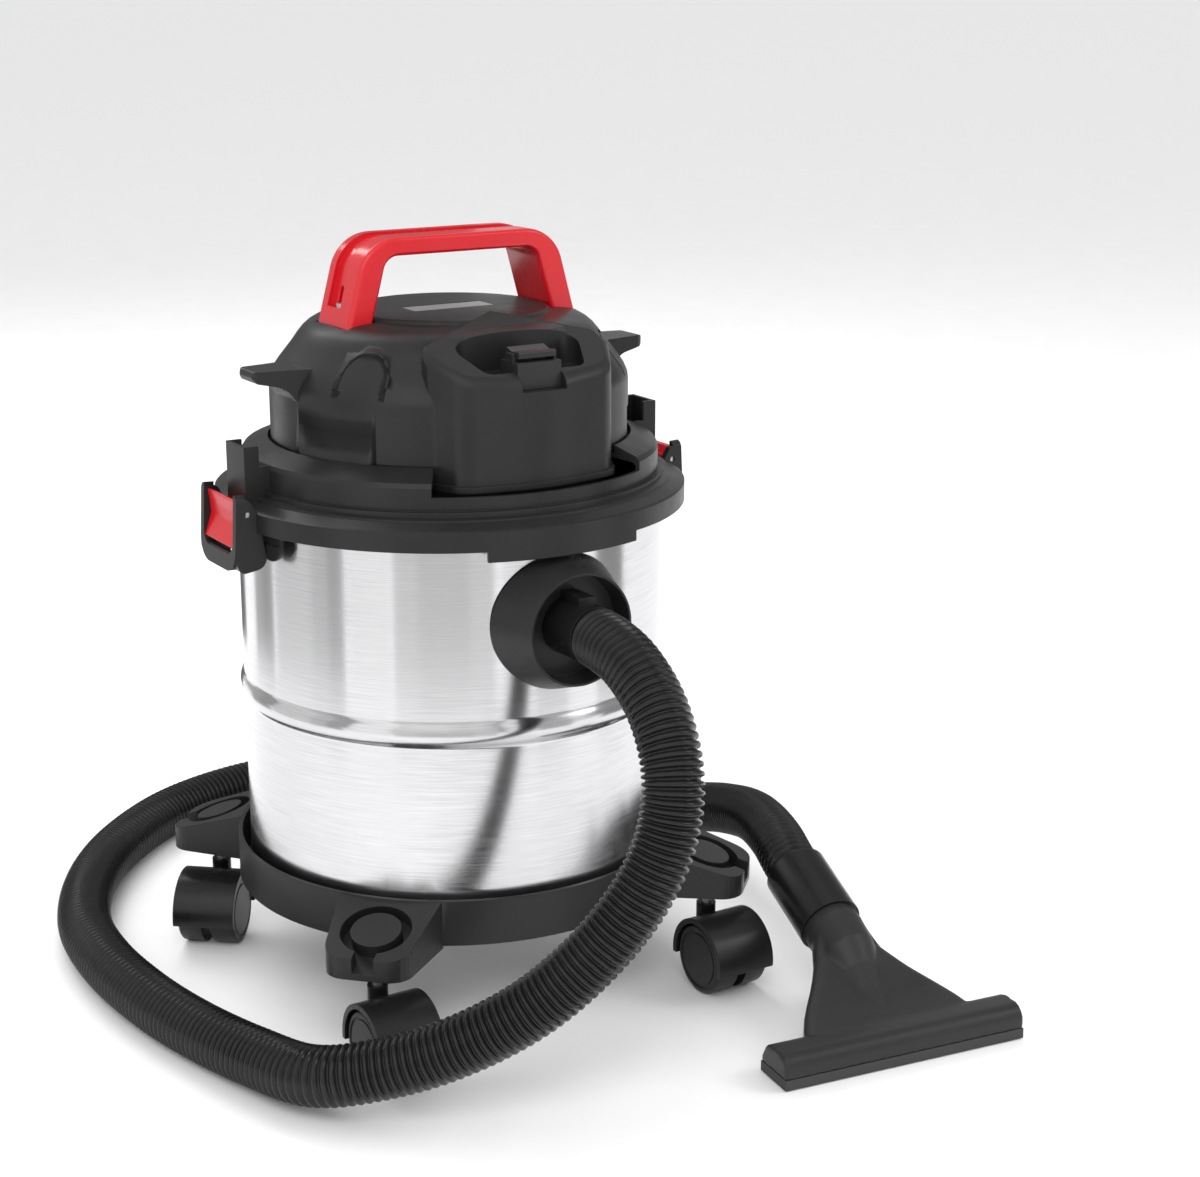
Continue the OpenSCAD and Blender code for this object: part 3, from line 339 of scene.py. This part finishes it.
def metal_group():
    """Brush lines round the Z axis and faint smears."""
    group, given, result = new_group(
        "brushed_surface",
        [("Line Scale", "NodeSocketFloat", 900), ("Line Depth", "NodeSocketFloat", 0.1),
         ("Gloss Low", "NodeSocketFloat", 0.15), ("Gloss High", "NodeSocketFloat", 0.3),
         ("Colour", "NodeSocketColor", (0.7, 0.7, 0.71, 1)),
         ("Dull Colour", "NodeSocketColor", (0.55, 0.55, 0.56, 1))],
        [("Colour", "NodeSocketColor"), ("Roughness", "NodeSocketFloat"), ("Normal", "NodeSocketVector")])
    add, join = group.nodes.new, group.links.new
    place = add("ShaderNodeTexCoord")
    along = add("ShaderNodeMapping")
    along.inputs["Scale"].default_value = (0.02, 0.02, 1)
    lines = add("ShaderNodeTexNoise")
    lines.inputs["Detail"].default_value = 3
    bump = add("ShaderNodeBump")
    bump.inputs["Distance"].default_value = 0.0001
    smear = add("ShaderNodeTexNoise")
    smear.inputs["Scale"].default_value = 9
    smear.inputs["Detail"].default_value = 5
    smear.inputs["Roughness"].default_value = 0.6
    blend = add("ShaderNodeMath")
    blend.operation = "MULTIPLY_ADD"
    blend.inputs[1].default_value = 0.5
    gloss = add("ShaderNodeMapRange")
    gloss.inputs["From Min"].default_value = 0.4
    gloss.inputs["From Max"].default_value = 1.1
    tint = add("ShaderNodeMix")
    tint.data_type = "RGBA"
    join(place.outputs["Object"], along.inputs["Vector"])
    join(along.outputs["Vector"], lines.inputs["Vector"])
    join(given.outputs["Line Scale"], lines.inputs["Scale"])
    join(lines.outputs["Fac"], bump.inputs["Height"])
    join(given.outputs["Line Depth"], bump.inputs["Strength"])
    join(place.outputs["Object"], smear.inputs["Vector"])
    join(smear.outputs["Fac"], blend.inputs[0])
    join(lines.outputs["Fac"], blend.inputs[2])
    join(blend.outputs[0], gloss.inputs["Value"])
    join(given.outputs["Gloss Low"], gloss.inputs["To Min"])
    join(given.outputs["Gloss High"], gloss.inputs["To Max"])
    join(blend.outputs[0], tint.inputs[0])
    join(given.outputs["Colour"], tint.inputs[6])
    join(given.outputs["Dull Colour"], tint.inputs[7])
    join(tint.outputs[2], result.inputs["Colour"])
    join(gloss.outputs[0], result.inputs["Roughness"])
    join(bump.outputs["Normal"], result.inputs["Normal"])
    return group


moulded = moulding_group()
brushed = metal_group()


def shaded(name, group, settings, constants):
    """A material whose colour, roughness and normal come from a group; constants go straight on the shader."""
    material = bpy.data.materials.new(name)
    material.use_nodes = True
    tree = material.node_tree
    shader = tree.nodes["Principled BSDF"]
    surface = tree.nodes.new("ShaderNodeGroup")
    surface.node_tree = group
    for label, value in settings.items():
        surface.inputs[label].default_value = value
    for label, value in constants.items():
        shader.inputs[label].default_value = value
    tree.links.new(surface.outputs["Colour"], shader.inputs["Base Color"])
    tree.links.new(surface.outputs["Roughness"], shader.inputs["Roughness"])
    tree.links.new(surface.outputs["Normal"], shader.inputs["Normal"])
    return material


def plastic(name, colour, worn, gloss, grain=(900, 0.25), dust=0.05, **constants):
    constants.setdefault("Specular IOR Level", 0.36)
    return shaded(name, moulded, {
        "Colour": (*colour, 1), "Worn Colour": (*worn, 1), "Gloss Low": gloss[0], "Gloss High": gloss[1],
        "Grain Scale": grain[0], "Grain Depth": grain[1], "Dust": dust}, constants)


def metal(name, colour, dull, gloss, lines=(900, 0.1), **constants):
    return shaded(name, brushed, {
        "Colour": (*colour, 1), "Dull Colour": (*dull, 1), "Gloss Low": gloss[0], "Gloss High": gloss[1],
        "Line Scale": lines[0], "Line Depth": lines[1]}, {"Metallic": 1.0, **constants})


def floor_paper():
    material = plastic("floor_paper", (0.86, 0.86, 0.865), (0.9, 0.9, 0.9), (0.6, 0.75), (300, 0.05), 0.0)
    return material


finishes = {
    "steel_sheet": metal(
        "polished_steel", (0.82, 0.82, 0.83), (0.6, 0.6, 0.61), (0.12, 0.24), (1400, 0.12),
        Anisotropic=0.6, **{"Anisotropic Rotation": 0.25}),
    "black_plastic": plastic("satin_black", (0.008, 0.008, 0.0085), (0.014, 0.014, 0.0145), (0.3, 0.44), dust=0.02),
    "caster_plastic": plastic("caster_black", (0.006, 0.006, 0.0065), (0.011, 0.011, 0.0115), (0.25, 0.38), dust=0.02),
    "wheel_plastic": plastic("wheel_black", (0.006, 0.006, 0.006), (0.01, 0.01, 0.0105), (0.3, 0.42), dust=0.02),
    "zinc_plate": metal("bright_zinc", (0.68, 0.68, 0.7), (0.45, 0.45, 0.46), (0.25, 0.4), (2500, 0.05)),
    "seal_rubber": plastic("seal_rubber", (0.03, 0.03, 0.03), (0.05, 0.05, 0.05), (0.65, 0.8), (1500, 0.4)),
    "hose_plastic": plastic("hose_black", (0.005, 0.005, 0.0055), (0.009, 0.009, 0.0095), (0.2, 0.32), (700, 0.08), 0.01),
    "nozzle_plastic": plastic("nozzle_black", (0.011, 0.011, 0.0115), (0.02, 0.02, 0.021), (0.38, 0.5), (1100, 0.5), 0.02),
    "red_plastic": plastic(
        "glossy_red", (0.52, 0.002, 0.008), (0.6, 0.004, 0.012), (0.2, 0.3), (500, 0.05), 0.01,
        **{"Coat Weight": 0.3, "Coat Roughness": 0.12, "Specular IOR Level": 0.5}),
    "silver_foil": metal("silver_foil", (0.62, 0.62, 0.63), (0.5, 0.5, 0.5), (0.3, 0.42), (3000, 0.1)),
    "switch_plastic": plastic("switch_black", (0.015, 0.015, 0.016), (0.024, 0.024, 0.025), (0.22, 0.34)),
    "motor_casting": metal("cast_aluminium", (0.45, 0.45, 0.46), (0.3, 0.3, 0.31), (0.45, 0.6), (400, 0.3)),
    "steel_laminate": metal("laminated_steel", (0.3, 0.3, 0.31), (0.2, 0.2, 0.2), (0.4, 0.55), (4000, 0.5)),
    "bearing_steel": metal("bearing_steel", (0.6, 0.6, 0.61), (0.5, 0.5, 0.51), (0.15, 0.25)),
    "carbon": plastic("carbon", (0.02, 0.02, 0.02), (0.04, 0.04, 0.04), (0.5, 0.7), (2000, 0.4)),
    "copper_winding": metal("copper_winding", (0.6, 0.23, 0.1), (0.4, 0.14, 0.06), (0.3, 0.45), (2500, 0.6)),
    "fan_plastic": plastic("fan_nylon", (0.3, 0.3, 0.29), (0.4, 0.4, 0.38), (0.4, 0.55)),
    "foam": plastic("sound_foam", (0.05, 0.05, 0.052), (0.1, 0.1, 0.1), (0.85, 0.95), (700, 1.0)),
    "cage_plastic": plastic("cage_white", (0.55, 0.55, 0.53), (0.62, 0.62, 0.6), (0.4, 0.55)),
    "float_plastic": plastic("float_orange", (0.62, 0.22, 0.05), (0.7, 0.3, 0.08), (0.35, 0.5)),
    "filter_foam": plastic("filter_foam", (0.06, 0.06, 0.07), (0.12, 0.12, 0.13), (0.85, 0.95), (900, 1.0)),
}


def finish_cad_nodes():
    """Every CAD node that still shows takes the finish of its material slot; the moulded plastic finishes soften its
    edges in shading.
    """
    for part in frame["record"]["subparts"]:
        node = nodes[part["node"]]
        node.data.materials.clear()
        node.data.materials.append(finishes[part["material_slot"]])


# ---- Hose ----

hose_route = [
    (0, -195, 293), (0, -235, 286), (-1, -270, 264), (-5, -293, 230), (-14, -300, 192),
    (-32, -297, 155), (-58, -285, 118), (-90, -266, 84), (-126, -240, 57), (-163, -212, 39),
    (-200, -178, 28), (-218, -120, 22), (-234, -55, 20), (-244, 10, 20), (-246, 80, 20),
    (-236, 150, 20), (-205, 222, 20), (-158, 285, 20), (-92, 338, 20), (-15, 363, 20),
    (60, 358, 20), (125, 330, 20), (178, 285, 20), (217, 230, 20), (241, 170, 22),
    (252, 110, 30), (250, 50, 48), (240, -5, 66), (226, -60, 80), (208, -112, 84), (192, -160, 76)]
neck_at = Vector((184, -212, 56)) * MM
hose_radius = 0.02


def smooth_route(points, before, after, steps):
    """Points on the smooth curve through a route, closer together."""
    chain = [before, *points, after]
    line = []
    for a, b, c, d in zip(chain, chain[1:], chain[2:], chain[3:]):
        for k in range(steps):
            t = k / steps
            line.append(0.5 * (
                2 * b + (c - a) * t + (2 * a - 5 * b + 4 * c - d) * t * t + (3 * b - a - 3 * c + d) * t ** 3))
    return line + [points[-1]]


def carry_frames(line, first_heading, last_heading, side):
    """Position, side and up vectors along a line, without twist."""
    frames = []
    for i, point in enumerate(line):
        if i == 0:
            heading = first_heading
        elif i == len(line) - 1:
            heading = last_heading
        else:
            heading = line[i + 1] - line[i - 1]
        heading = heading.normalized()
        side = (side - side.dot(heading) * heading).normalized()
        frames.append((point, side.copy(), heading.cross(side)))
    return frames


def bend_along(bm, line, frames):
    """Bends a straight tube drawn along +Z so that it follows a line."""
    reach = [0.0]
    for a, b in zip(line, line[1:]):
        reach.append(reach[-1] + (b - a).length)
    length = reach[-1]
    for vert in bm.verts:
        at = min(max(vert.co.z, 0), 1) * length
        low, high = 0, len(reach) - 1
        while high - low > 1:
            middle = (low + high) // 2
            if reach[middle] <= at:
                low = middle
            else:
                high = middle
        t = (at - reach[low]) / (reach[high] - reach[low])
        point = frames[low][0].lerp(frames[high][0], t)
        side = frames[low][1].lerp(frames[high][1], t).normalized()
        up = frames[low][2].lerp(frames[high][2], t).normalized()
        vert.co = point + side * vert.co.x + up * vert.co.y
    return length


def corrugated_hose():
    points = [Vector(p) * MM for p in hose_route]
    before = 2 * points[0] - Vector((0, -0.235, 0.293))
    after = 2 * neck_at - points[-1]
    line = smooth_route(points, before, after, 8)
    length = sum((b - a).length for a, b in zip(line, line[1:]))
    frames = carry_frames(line, Vector((0, -1, 0)), neck_at - points[-1], Vector((1, 0, 0)))
    pitch = 0.0053
    groove = hose_radius - 0.0028
    ribs = round(length / pitch)
    rib = [(0.0, groove), (0.16, groove + 0.0004), (0.3, hose_radius - 0.0004), (0.5, hose_radius),
           (0.7, hose_radius - 0.0004), (0.84, groove + 0.0004)]
    profile = [(0, 0)]
    profile += [(radius, (k + part) / ribs) for k in range(ribs) for part, radius in rib]
    profile += [(groove, 1), (0, 1)]
    bm = turned(profile, steps=24, closed=False)
    bend_along(bm, line, frames)
    hose = piece("hose_tube", bm, finishes["hose_plastic"], "root", ["hose"], crease=75)
    return hose, line, length


# ---- Tank ----

def steel_tank():
    """Drawn steel pail with a pressed bead and a rim that is rolled outwards over a wire."""
    wall, foot, rim, top = 1.2, 8, 2.5, 352
    bead_bow, bead_root, bead_z = 13.5, 5, 219.5

    def side(radius, corner):
        """Points up one side of the sheet, from the bottom to the rim."""
        grow = radius - 150
        points = arc((142, 86), corner, -90, 0, 8)
        centre = (150 + 3 - bead_bow, bead_z)
        root_x = 150 + grow + bead_root
        reach = bead_bow + grow
        # where a small fillet meets the bow of the bead
        spread = math.acos((root_x - centre[0]) / (reach + bead_root))
        lift = math.sin(spread) * (reach + bead_root)
        turn = math.degrees(spread)
        points += arc((root_x, bead_z - lift), bead_root, 180, 180 - turn, 5)
        points += arc(centre, reach, -turn, turn, 14)[1:-1]
        points += arc((root_x, bead_z + lift), bead_root, 180 + turn, 180, 5)
        return points

    outside = side(150, foot)
    inside = side(150 - wall, foot - wall)
    roll = arc((150 - wall + rim, top - rim), rim, 270, -10, 14) + [(150 - wall, top - rim - 1)]
    profile = [(0, 78), *outside, (150, top - 2 * rim), *roll, *reversed(inside), (0, 78 + wall)]
    bm = turned([(r * MM, z * MM) for r, z in profile], steps=160, closed=False)
    return piece("steel_tank", bm, finishes["steel_sheet"], "root", ["tank"], crease=50)


# ---- Nozzle ----

def superellipse(half_w, half_h, centre, power, count=40):
    """Points round a rounded rectangle in the XZ plane."""
    points = []
    for k in range(count):
        a = math.tau * k / count
        c, s = math.cos(a), math.sin(a)
        points.append(Vector((
            centre[0] + half_w * math.copysign(abs(c) ** (2 / power), c), centre[1],
            centre[2] + half_h * math.copysign(abs(s) ** (2 / power), s))))
    return points


def lofted(sections):
    """A closed bmesh that joins loops of points, one after another."""
    bm = bmesh.new()
    loops = [[bm.verts.new(point) for point in section] for section in sections]
    rings = [[bm.edges.new((loop[i - 1], loop[i])) for i in range(len(loop))] for loop in loops]
    for low, high in zip(rings, rings[1:]):
        bmesh.ops.bridge_loops(bm, edges=low + high)
    bm.faces.new(loops[0])
    bm.faces.new(loops[-1])
    bmesh.ops.recalc_face_normals(bm, faces=bm.faces)
    return bm


def ring_about(centre, heading, radius, count=40):
    """Points round a circle that faces a heading."""
    heading = Vector(heading).normalized()
    side = Vector((1, 0, 0))
    side = (side - side.dot(heading) * heading).normalized()
    up = side.cross(heading)
    up = up if up.z > 0 else -up
    return [Vector(centre) + radius * (math.cos(math.tau * k / count) * side + math.sin(math.tau * k / count) * up)
            for k in range(count)]


nozzle_place = Matrix.Translation((0.168, -0.306, 0)) @ Matrix.Rotation(math.radians(-7), 4, "Z")


def wide_nozzle():
    """A flat bell with a half-round barrel along its mouth and a cone that runs down its middle from the neck."""
    to_nozzle = nozzle_place.inverted()
    neck = to_nozzle @ neck_at
    cuff = to_nozzle @ (Vector((192, -160, 76)) * MM)
    down = (neck - cuff).normalized()
    barrel_outline = [(-17, 8), (-17, 14), *arc((-7, 14), 10, 180, 90, 6), *arc((4, 13), 11, 90, 15, 6), (17, 12), (17, 8)]
    barrel = bmesh.new()
    face = barrel.faces.new([barrel.verts.new((-0.093, y * MM, z * MM)) for y, z in barrel_outline])
    drawn = bmesh.ops.extrude_face_region(barrel, geom=[face])["geom"]
    bmesh.ops.translate(
        barrel, verts=[v for v in drawn if isinstance(v, bmesh.types.BMVert)], vec=(0.186, 0, 0))
    bmesh.ops.recalc_face_normals(barrel, faces=barrel.faces)
    # (distance back, half width, top, corner power)
    flare = [(0, 66, 23, 6), (8, 65, 25, 5.5), (18, 61.5, 28, 5), (28, 56, 31.5, 4.4), (38, 49, 36, 3.8),
             (48, 41.5, 41, 3.2), (58, 34.5, 47, 2.7), (68, 28.5, 52.5, 2.3)]
    bell = []
    for y, half_w, top, power in flare:
        low = 8 + max(0, y - 14) * 0.32
        drift = neck.x * (y / 80)
        bell.append(superellipse(
            half_w * MM, (top - low) / 2 * MM, (drift, y * MM, (top + low) / 2 * MM), power))
    bell.append(ring_about(neck + down * 0.012, down, 0.0205))
    shell = lofted(bell)
    cone = lofted([
        ring_about(neck + down * 0.006, down, 0.0212),
        ring_about(neck + down * 0.03, down, 0.0195),
        ring_about(Vector((0.004, 0.055, 0.0335)), (0, -1, -0.4), 0.0165),
        ring_about(Vector((0.003, 0.034, 0.0245)), (0, -1, -0.4), 0.0115),
        ring_about(Vector((0.002, 0.014, 0.0195)), (0, -1, -0.3), 0.0062),
        ring_about(Vector((0.001, 0.004, 0.019)), (0, -1, -0.2), 0.0035)])
    throat = rod(0.0205, -0.004, 0.012, Matrix.Translation(neck) @ down.to_track_quat("Z", "Y").to_matrix().to_4x4())
    bm = combine(barrel, ("UNION", shell), ("UNION", cone), ("UNION", throat),
                 ("DIFFERENCE", block((-0.084, -0.011, 0), (0.084, 0.011, 0.017))))
    bm.transform(nozzle_place)
    thing = piece("nozzle_bell", bm, finishes["nozzle_plastic"], "root", ["nozzle"])
    remesh = thing.modifiers.new("even mesh", "REMESH")
    remesh.mode = "VOXEL"
    remesh.voxel_size = 0.0014
    remesh.use_smooth_shade = True
    soften = thing.modifiers.new("soft edges", "SMOOTH")
    soften.factor = 0.5
    soften.iterations = 5
    return thing


# ---- Head cover ----

def corner_arc(before, at, after, radius, steps):
    """Points that round one corner of an outline."""
    before, at, after = Vector(before), Vector(at), Vector(after)
    if radius == 0:
        return [tuple(at)]
    u, w = (before - at).normalized(), (after - at).normalized()
    half = u.angle(w) / 2
    centre = at + (u + w).normalized() * radius / math.sin(half)
    a = at + u * radius / math.tan(half) - centre
    b = at + w * radius / math.tan(half) - centre
    start = math.atan2(a.y, a.x)
    turn = (math.atan2(b.y, b.x) - start + 3 * math.pi) % math.tau - math.pi
    return [
        (centre.x + radius * math.cos(start + turn * i / steps), centre.y + radius * math.sin(start + turn * i / steps))
        for i in range(steps + 1)]


def rounded(corners, radii, steps=8):
    """An outline in metres from corners in millimetres, each rounded by its own radius."""
    count = len(corners)
    points = []
    for i in range(count):
        points += corner_arc(corners[i - 1], corners[i], corners[(i + 1) % count], radii[i], steps)
    return [(x * MM, y * MM) for x, y in points]


def drawn_across(outline, half_depth, shift=0.0):
    """A bmesh of an outline in the XZ plane, drawn out to both sides of it along Y."""
    bm = drawn_up(outline, -half_depth, half_depth)
    bm.transform(Matrix.Translation((0, shift, 0)) @ Matrix.Rotation(math.radians(90), 4, "X"))
    return bm


def soften_edges(bm, size, steps, chosen):
    """Rounds the edges that a test picks out."""
    edges = [edge for edge in bm.edges if chosen(edge)]
    bmesh.ops.bevel(
        bm, geom=edges, offset=size, offset_type="OFFSET", segments=steps, profile=0.5, affect="EDGES",
        material=-1, clamp_overlap=True)
    return bm


def mirrored(bm):
    """The bmesh and its mirror image across the YZ plane, as two bmeshes."""
    other = bm.copy()
    other.transform(Matrix.Diagonal((-1, 1, 1, 1)))
    bmesh.ops.recalc_face_normals(other, faces=other.faces)
    return bm, other


def part_ring(r_in, r_out, low, high, start, sweep, steps=16):
    """A bmesh of part of a ring; angles are in degrees from +X."""
    outer = [(r_out, math.radians(start + sweep * i / steps)) for i in range(steps + 1)]
    inner = [(r_in, a) for r, a in reversed(outer)]
    return drawn_up([(r * math.cos(a), r * math.sin(a)) for r, a in outer + inner], low, high)


def pointing(angle, height):
    """A place whose Z axis points outwards at an angle round the head, at a height."""
    return (Matrix.Rotation(math.radians(angle), 4, "Z") @ Matrix.Translation((0, 0, height))
            @ Matrix.Rotation(math.radians(90), 4, "Y"))


cover_base, cover_top = 0.390, 0.483


def cover_solid(inset):
    """The drum and dome of the head cover as a solid, moved in by an inset."""
    drum = [(125, 433), (124.4, 437.5), (122, 443), (117.8, 449), (113, 455), (108.6, 460.6), (104.8, 466),
            (101.2, 470.4), (97.5, 473.6), (93, 476.2), (87, 478.2), (79, 479.4), (73, 479.8), (71.2, 480.3),
            (70.3, 481.6), (69.2, 482.6), (67.4, 483)]
    profile = [(0, cover_base / MM - inset), (125 - inset, cover_base / MM - inset)]
    profile += [(r - inset * (0.85 if z < 460 else 0.5), z - inset * (0.4 if z < 460 else 0.9)) for r, z in drum]
    profile.append((0, 483 - inset))
    return turned([(r * MM, z * MM) for r, z in profile], steps=128, closed=False)


def nose_outline(grow):
    return rounded(
        [(-68 - grow, -90), (-69 - grow, -100), (-56 - grow, -125 - grow), (0, -136 - grow), (56 + grow, -125 - grow),
         (69 + grow, -100), (68 + grow, -90), (0, -60)],
        [0, 0, 20, 120, 20, 0, 0, 0])


def nose_solid():
    """The nose, with a sloping top whose edges are rounded."""
    slope = math.radians(26.6)
    normal = Vector((0, -math.sin(slope), math.cos(slope)))
    on_top = Vector((0, -0.136, 0.449))
    bm = drawn_up(nose_outline(0), 0.380, 0.520)
    bmesh.ops.bisect_plane(
        bm, geom=[*bm.verts, *bm.edges, *bm.faces], dist=1e-7, plane_co=on_top, plane_no=normal, clear_outer=True)
    rim = [edge for edge in bm.edges if edge.is_boundary]
    bmesh.ops.contextual_create(bm, geom=rim)
    bmesh.ops.recalc_face_normals(bm, faces=bm.faces)

    def on_rim(edge):
        return all(abs((v.co - on_top).dot(normal)) < 1e-5 and v.co.y < -0.088 for v in edge.verts)

    return soften_edges(bm, 0.006, 5, on_rim)


def tray_outline(grow):
    return rounded(
        [(-50 - grow, -89 + grow), (-37 - grow, -122 - grow), (37 + grow, -122 - grow), (50 + grow, -89 + grow)],
        [9, 9, 9, 9])


def cord_hook():
    side = rounded(
        [(109, 452), (151, 452), (153, 448), (150, 444), (131, 440), (122, 428), (109, 428)], [0, 2, 2, 2, 14, 0, 0])
    plan = rounded([(105, -22), (133, -16), (154, -13), (154, 13), (133, 16), (105, 22)], [0, 10, 9, 9, 10, 0])
    return combine(drawn_across(side, 0.03), ("INTERSECT", drawn_up(plan, 0.40, 0.48)))


def arch_groove():
    """An arch cut shallowly into the dome, between the nose and the foot of the handle."""
    half_w, top, line = 19, 467, 2.6
    outer = rounded([(-half_w, 420), (half_w, 420), (half_w, top), (-half_w, top)], [0, 0, half_w - 1, half_w - 1], 14)
    inner_w, inner_top = half_w - line, top - line
    inner = rounded(
        [(-inner_w, 419), (inner_w, 419), (inner_w, inner_top), (-inner_w, inner_top)],
        [0, 0, inner_w - 1, inner_w - 1], 14)
    band = combine(drawn_across(outer, 0.035), ("DIFFERENCE", drawn_across(inner, 0.04)),
                   ("INTERSECT", block((-0.1, -0.1, 0.438), (0.1, 0.1, 0.5))))
    band.transform(Matrix.Rotation(math.radians(57), 4, "Z") @ Matrix.Translation((0, -0.112, 0)))
    return combine(band, ("DIFFERENCE", cover_solid(1.4)))


def head_cover():
    outside = combine(cover_solid(0), ("UNION", nose_solid()))
    walls = [combine(drawn_up(tray_outline(3), 0.449, 0.52), ("INTERSECT", outside.copy()))]
    for side in (-1, 1):
        low, high = sorted((side * 0.0645, side * 0.0925))
        walls.append(combine(block((low, -0.028, 0.458), (high, 0.028, 0.488)), ("INTERSECT", outside.copy())))
    steps = [("UNION", drawn_up(nose_outline(2), 0.3802, 0.3845))]
    steps += [("UNION", hook) for hook in mirrored(cord_hook())]
    steps += [
        ("UNION", rod(0.0205, 0.11, 0.14, pointing(90, 0.421))),
        ("UNION", rod(0.011, 0.113, 0.127, pointing(130, 0.411), 40)),
        ("DIFFERENCE", cover_solid(3))]
    steps += [("UNION", wall) for wall in walls]
    steps += [
        ("DIFFERENCE", drawn_up(tray_outline(0), 0.452, 0.53)),
        ("DIFFERENCE", block((-0.0165, -0.15, 0.444), (0.0165, -0.1024, 0.50))),
        ("DIFFERENCE", block((-0.031, -0.011, 0.482), (0.031, 0.011, 0.49))),
        ("DIFFERENCE", rod(0.0175, 0.105, 0.145, pointing(90, 0.421))),
        ("DIFFERENCE", rod(0.0081, 0.10, 0.145, pointing(130, 0.411), 40))]
    for side in (-1, 1):
        low, high = sorted((side * 0.0675, side * 0.0905))
        steps.append(("DIFFERENCE", block((low, -0.0241, 0.476), (high, 0.0241, 0.51))))
    steps += [("DIFFERENCE", vent) for vent in mirrored(part_ring(0.116, 0.145, 0.388, 0.415, -39, 31))]
    steps += [("DIFFERENCE", cut) for cut in mirrored(arch_groove())]
    bm = combine(outside, *steps)
    return piece("motor_cover", bm, finishes["black_plastic"], "head", ["head_cover"])


# ---- Handle and latches ----

def carrying_handle():
    """A red handle with rounded edges, a shallow channel over its outside and a screw ledge in each foot."""
    lean, rise = 0.27, 59.5
    top_x = 88.5 - lean * rise
    in_top = 70 - lean * (rise - 12.5)
    outer = rounded([(88.5, 476), (top_x, 535.5), (-top_x, 535.5), (-88.5, 476)], [0, 30, 30, 0], 14)
    inner = rounded([(70, 476), (in_top, 523), (-in_top, 523), (-70, 476)], [0, 11, 11, 0], 10)
    outline = outer + list(reversed(inner))
    bm = bmesh.new()
    front = bm.faces.new([bm.verts.new((x, -0.024, z)) for x, z in outline])
    drawn = bmesh.ops.extrude_face_region(bm, geom=[front])["geom"]
    bmesh.ops.translate(bm, verts=[v for v in drawn if isinstance(v, bmesh.types.BMVert)], vec=(0, 0.048, 0))
    bmesh.ops.recalc_face_normals(bm, faces=bm.faces)

    def round_the_bar(edge):
        a, b = edge.verts
        flat = abs(a.co.y - b.co.y) < 1e-6
        return flat and not (a.co.z < 0.4762 and b.co.z < 0.4762)

    soften_edges(bm, 0.0028, 4, round_the_bar)
    channel_outer = rounded([(120, 488), (120, 560), (-120, 560), (-120, 488)], [0, 0, 0, 0])
    keep = rounded([(86, 470), (top_x - 2.5, 533), (-top_x + 2.5, 533), (-86, 470)], [0, 28, 28, 0], 14)
    channel = combine(drawn_across(channel_outer, 0.0095, -0.0045 + 0.009), ("DIFFERENCE", drawn_across(keep, 0.03)))
    steps = [("DIFFERENCE", channel)]
    for side in (-1, 1):
        low, high = sorted((side * 0.0745, side * 0.12))
        steps.append(("DIFFERENCE", block((low, -0.006, 0.488), (high, 0.006, 0.502))))
        steps.append(("DIFFERENCE", rod(0.00235, 0.47, 0.49, Matrix.Translation((side * 0.08, 0, 0)), 32)))
    bm = combine(bm, *steps)
    return piece("carry_handle", bm, finishes["red_plastic"], "head", ["handle"])


def latch_lever(side, body, node):
    """A red over-centre lever: curled at the top, creased at mid height and flared at the bottom."""
    pivot = (168, 361)
    lever = rounded(
        [(2, 8), (5.5, 9), (4.2, 0), (3.6, -8), (8.5, -23), (5.8, -24.5), (0.5, -9), (-3, 0)],
        [0.8, 0.9, 3, 4, 0.8, 0.8, 4, 1.2])
    place = Matrix.Translation((pivot[0] * MM, 0, pivot[1] * MM))
    bm = drawn_across(lever, 0.024)
    barrel = drawn_across([(0.003 * math.cos(math.tau * k / 32), 0.003 * math.sin(math.tau * k / 32)) for k in range(32)], 0.024)
    hook = drawn_across([(x * MM, z * MM) for x, z in ((-13, -14.3), (-13, -16.8), (3, -19.3), (3, -14.3))], 0.016)
    pin = drawn_across([(0.00205 * math.cos(math.tau * k / 32), 0.00205 * math.sin(math.tau * k / 32)) for k in range(32)], 0.03)
    bm = combine(bm, ("UNION", barrel), ("UNION", hook), ("DIFFERENCE", pin))
    bm.transform(place)
    if side < 0:
        bm.transform(Matrix.Diagonal((-1, 1, 1, 1)))
    name = "latch_lever_right" if side > 0 else "latch_lever_left"
    return piece(name, bm, finishes["red_plastic"], body, [node])


def latch_frame(side):
    """The rounded frame that the lever sits in, moulded on the skirt of the lid."""
    outer = rounded([(-29.8, 374), (29.8, 374), (29.8, 321.5), (-29.8, 321.5)], [5, 5, 15, 15], 10)
    window = rounded([(-24.6, 380), (24.6, 380), (24.6, 333), (-24.6, 333)], [0, 0, 9, 9], 10)
    plate = drawn_across(outer, 0.0035)
    hole = drawn_across(window, 0.02)
    bm = combine(plate, ("DIFFERENCE", hole))
    lean = Matrix.Rotation(math.radians(-3), 4, "Y")
    bm.transform(Matrix.Translation((0.1735, 0, 0.345)) @ lean @ Matrix.Rotation(math.radians(90), 4, "Z")
                 @ Matrix.Translation((0, 0, -0.345)))
    if side < 0:
        bm.transform(Matrix.Diagonal((-1, 1, 1, 1)))
    name = "latch_frame_r" if side > 0 else "latch_frame_l"
    return piece(name, bm, finishes["black_plastic"], "head", [])


# ---- Build ----

place_camera()
light_studio()
lay_floor()
stand_screens()
hose, hose_line, hose_length = corrugated_hose()
wide_nozzle()
steel_tank()
head_cover()
carrying_handle()
latch_lever(1, "latch_r", "latch_right")
latch_lever(-1, "latch_l", "latch_left")
latch_frame(1)
latch_frame(-1)
finish_cad_nodes()
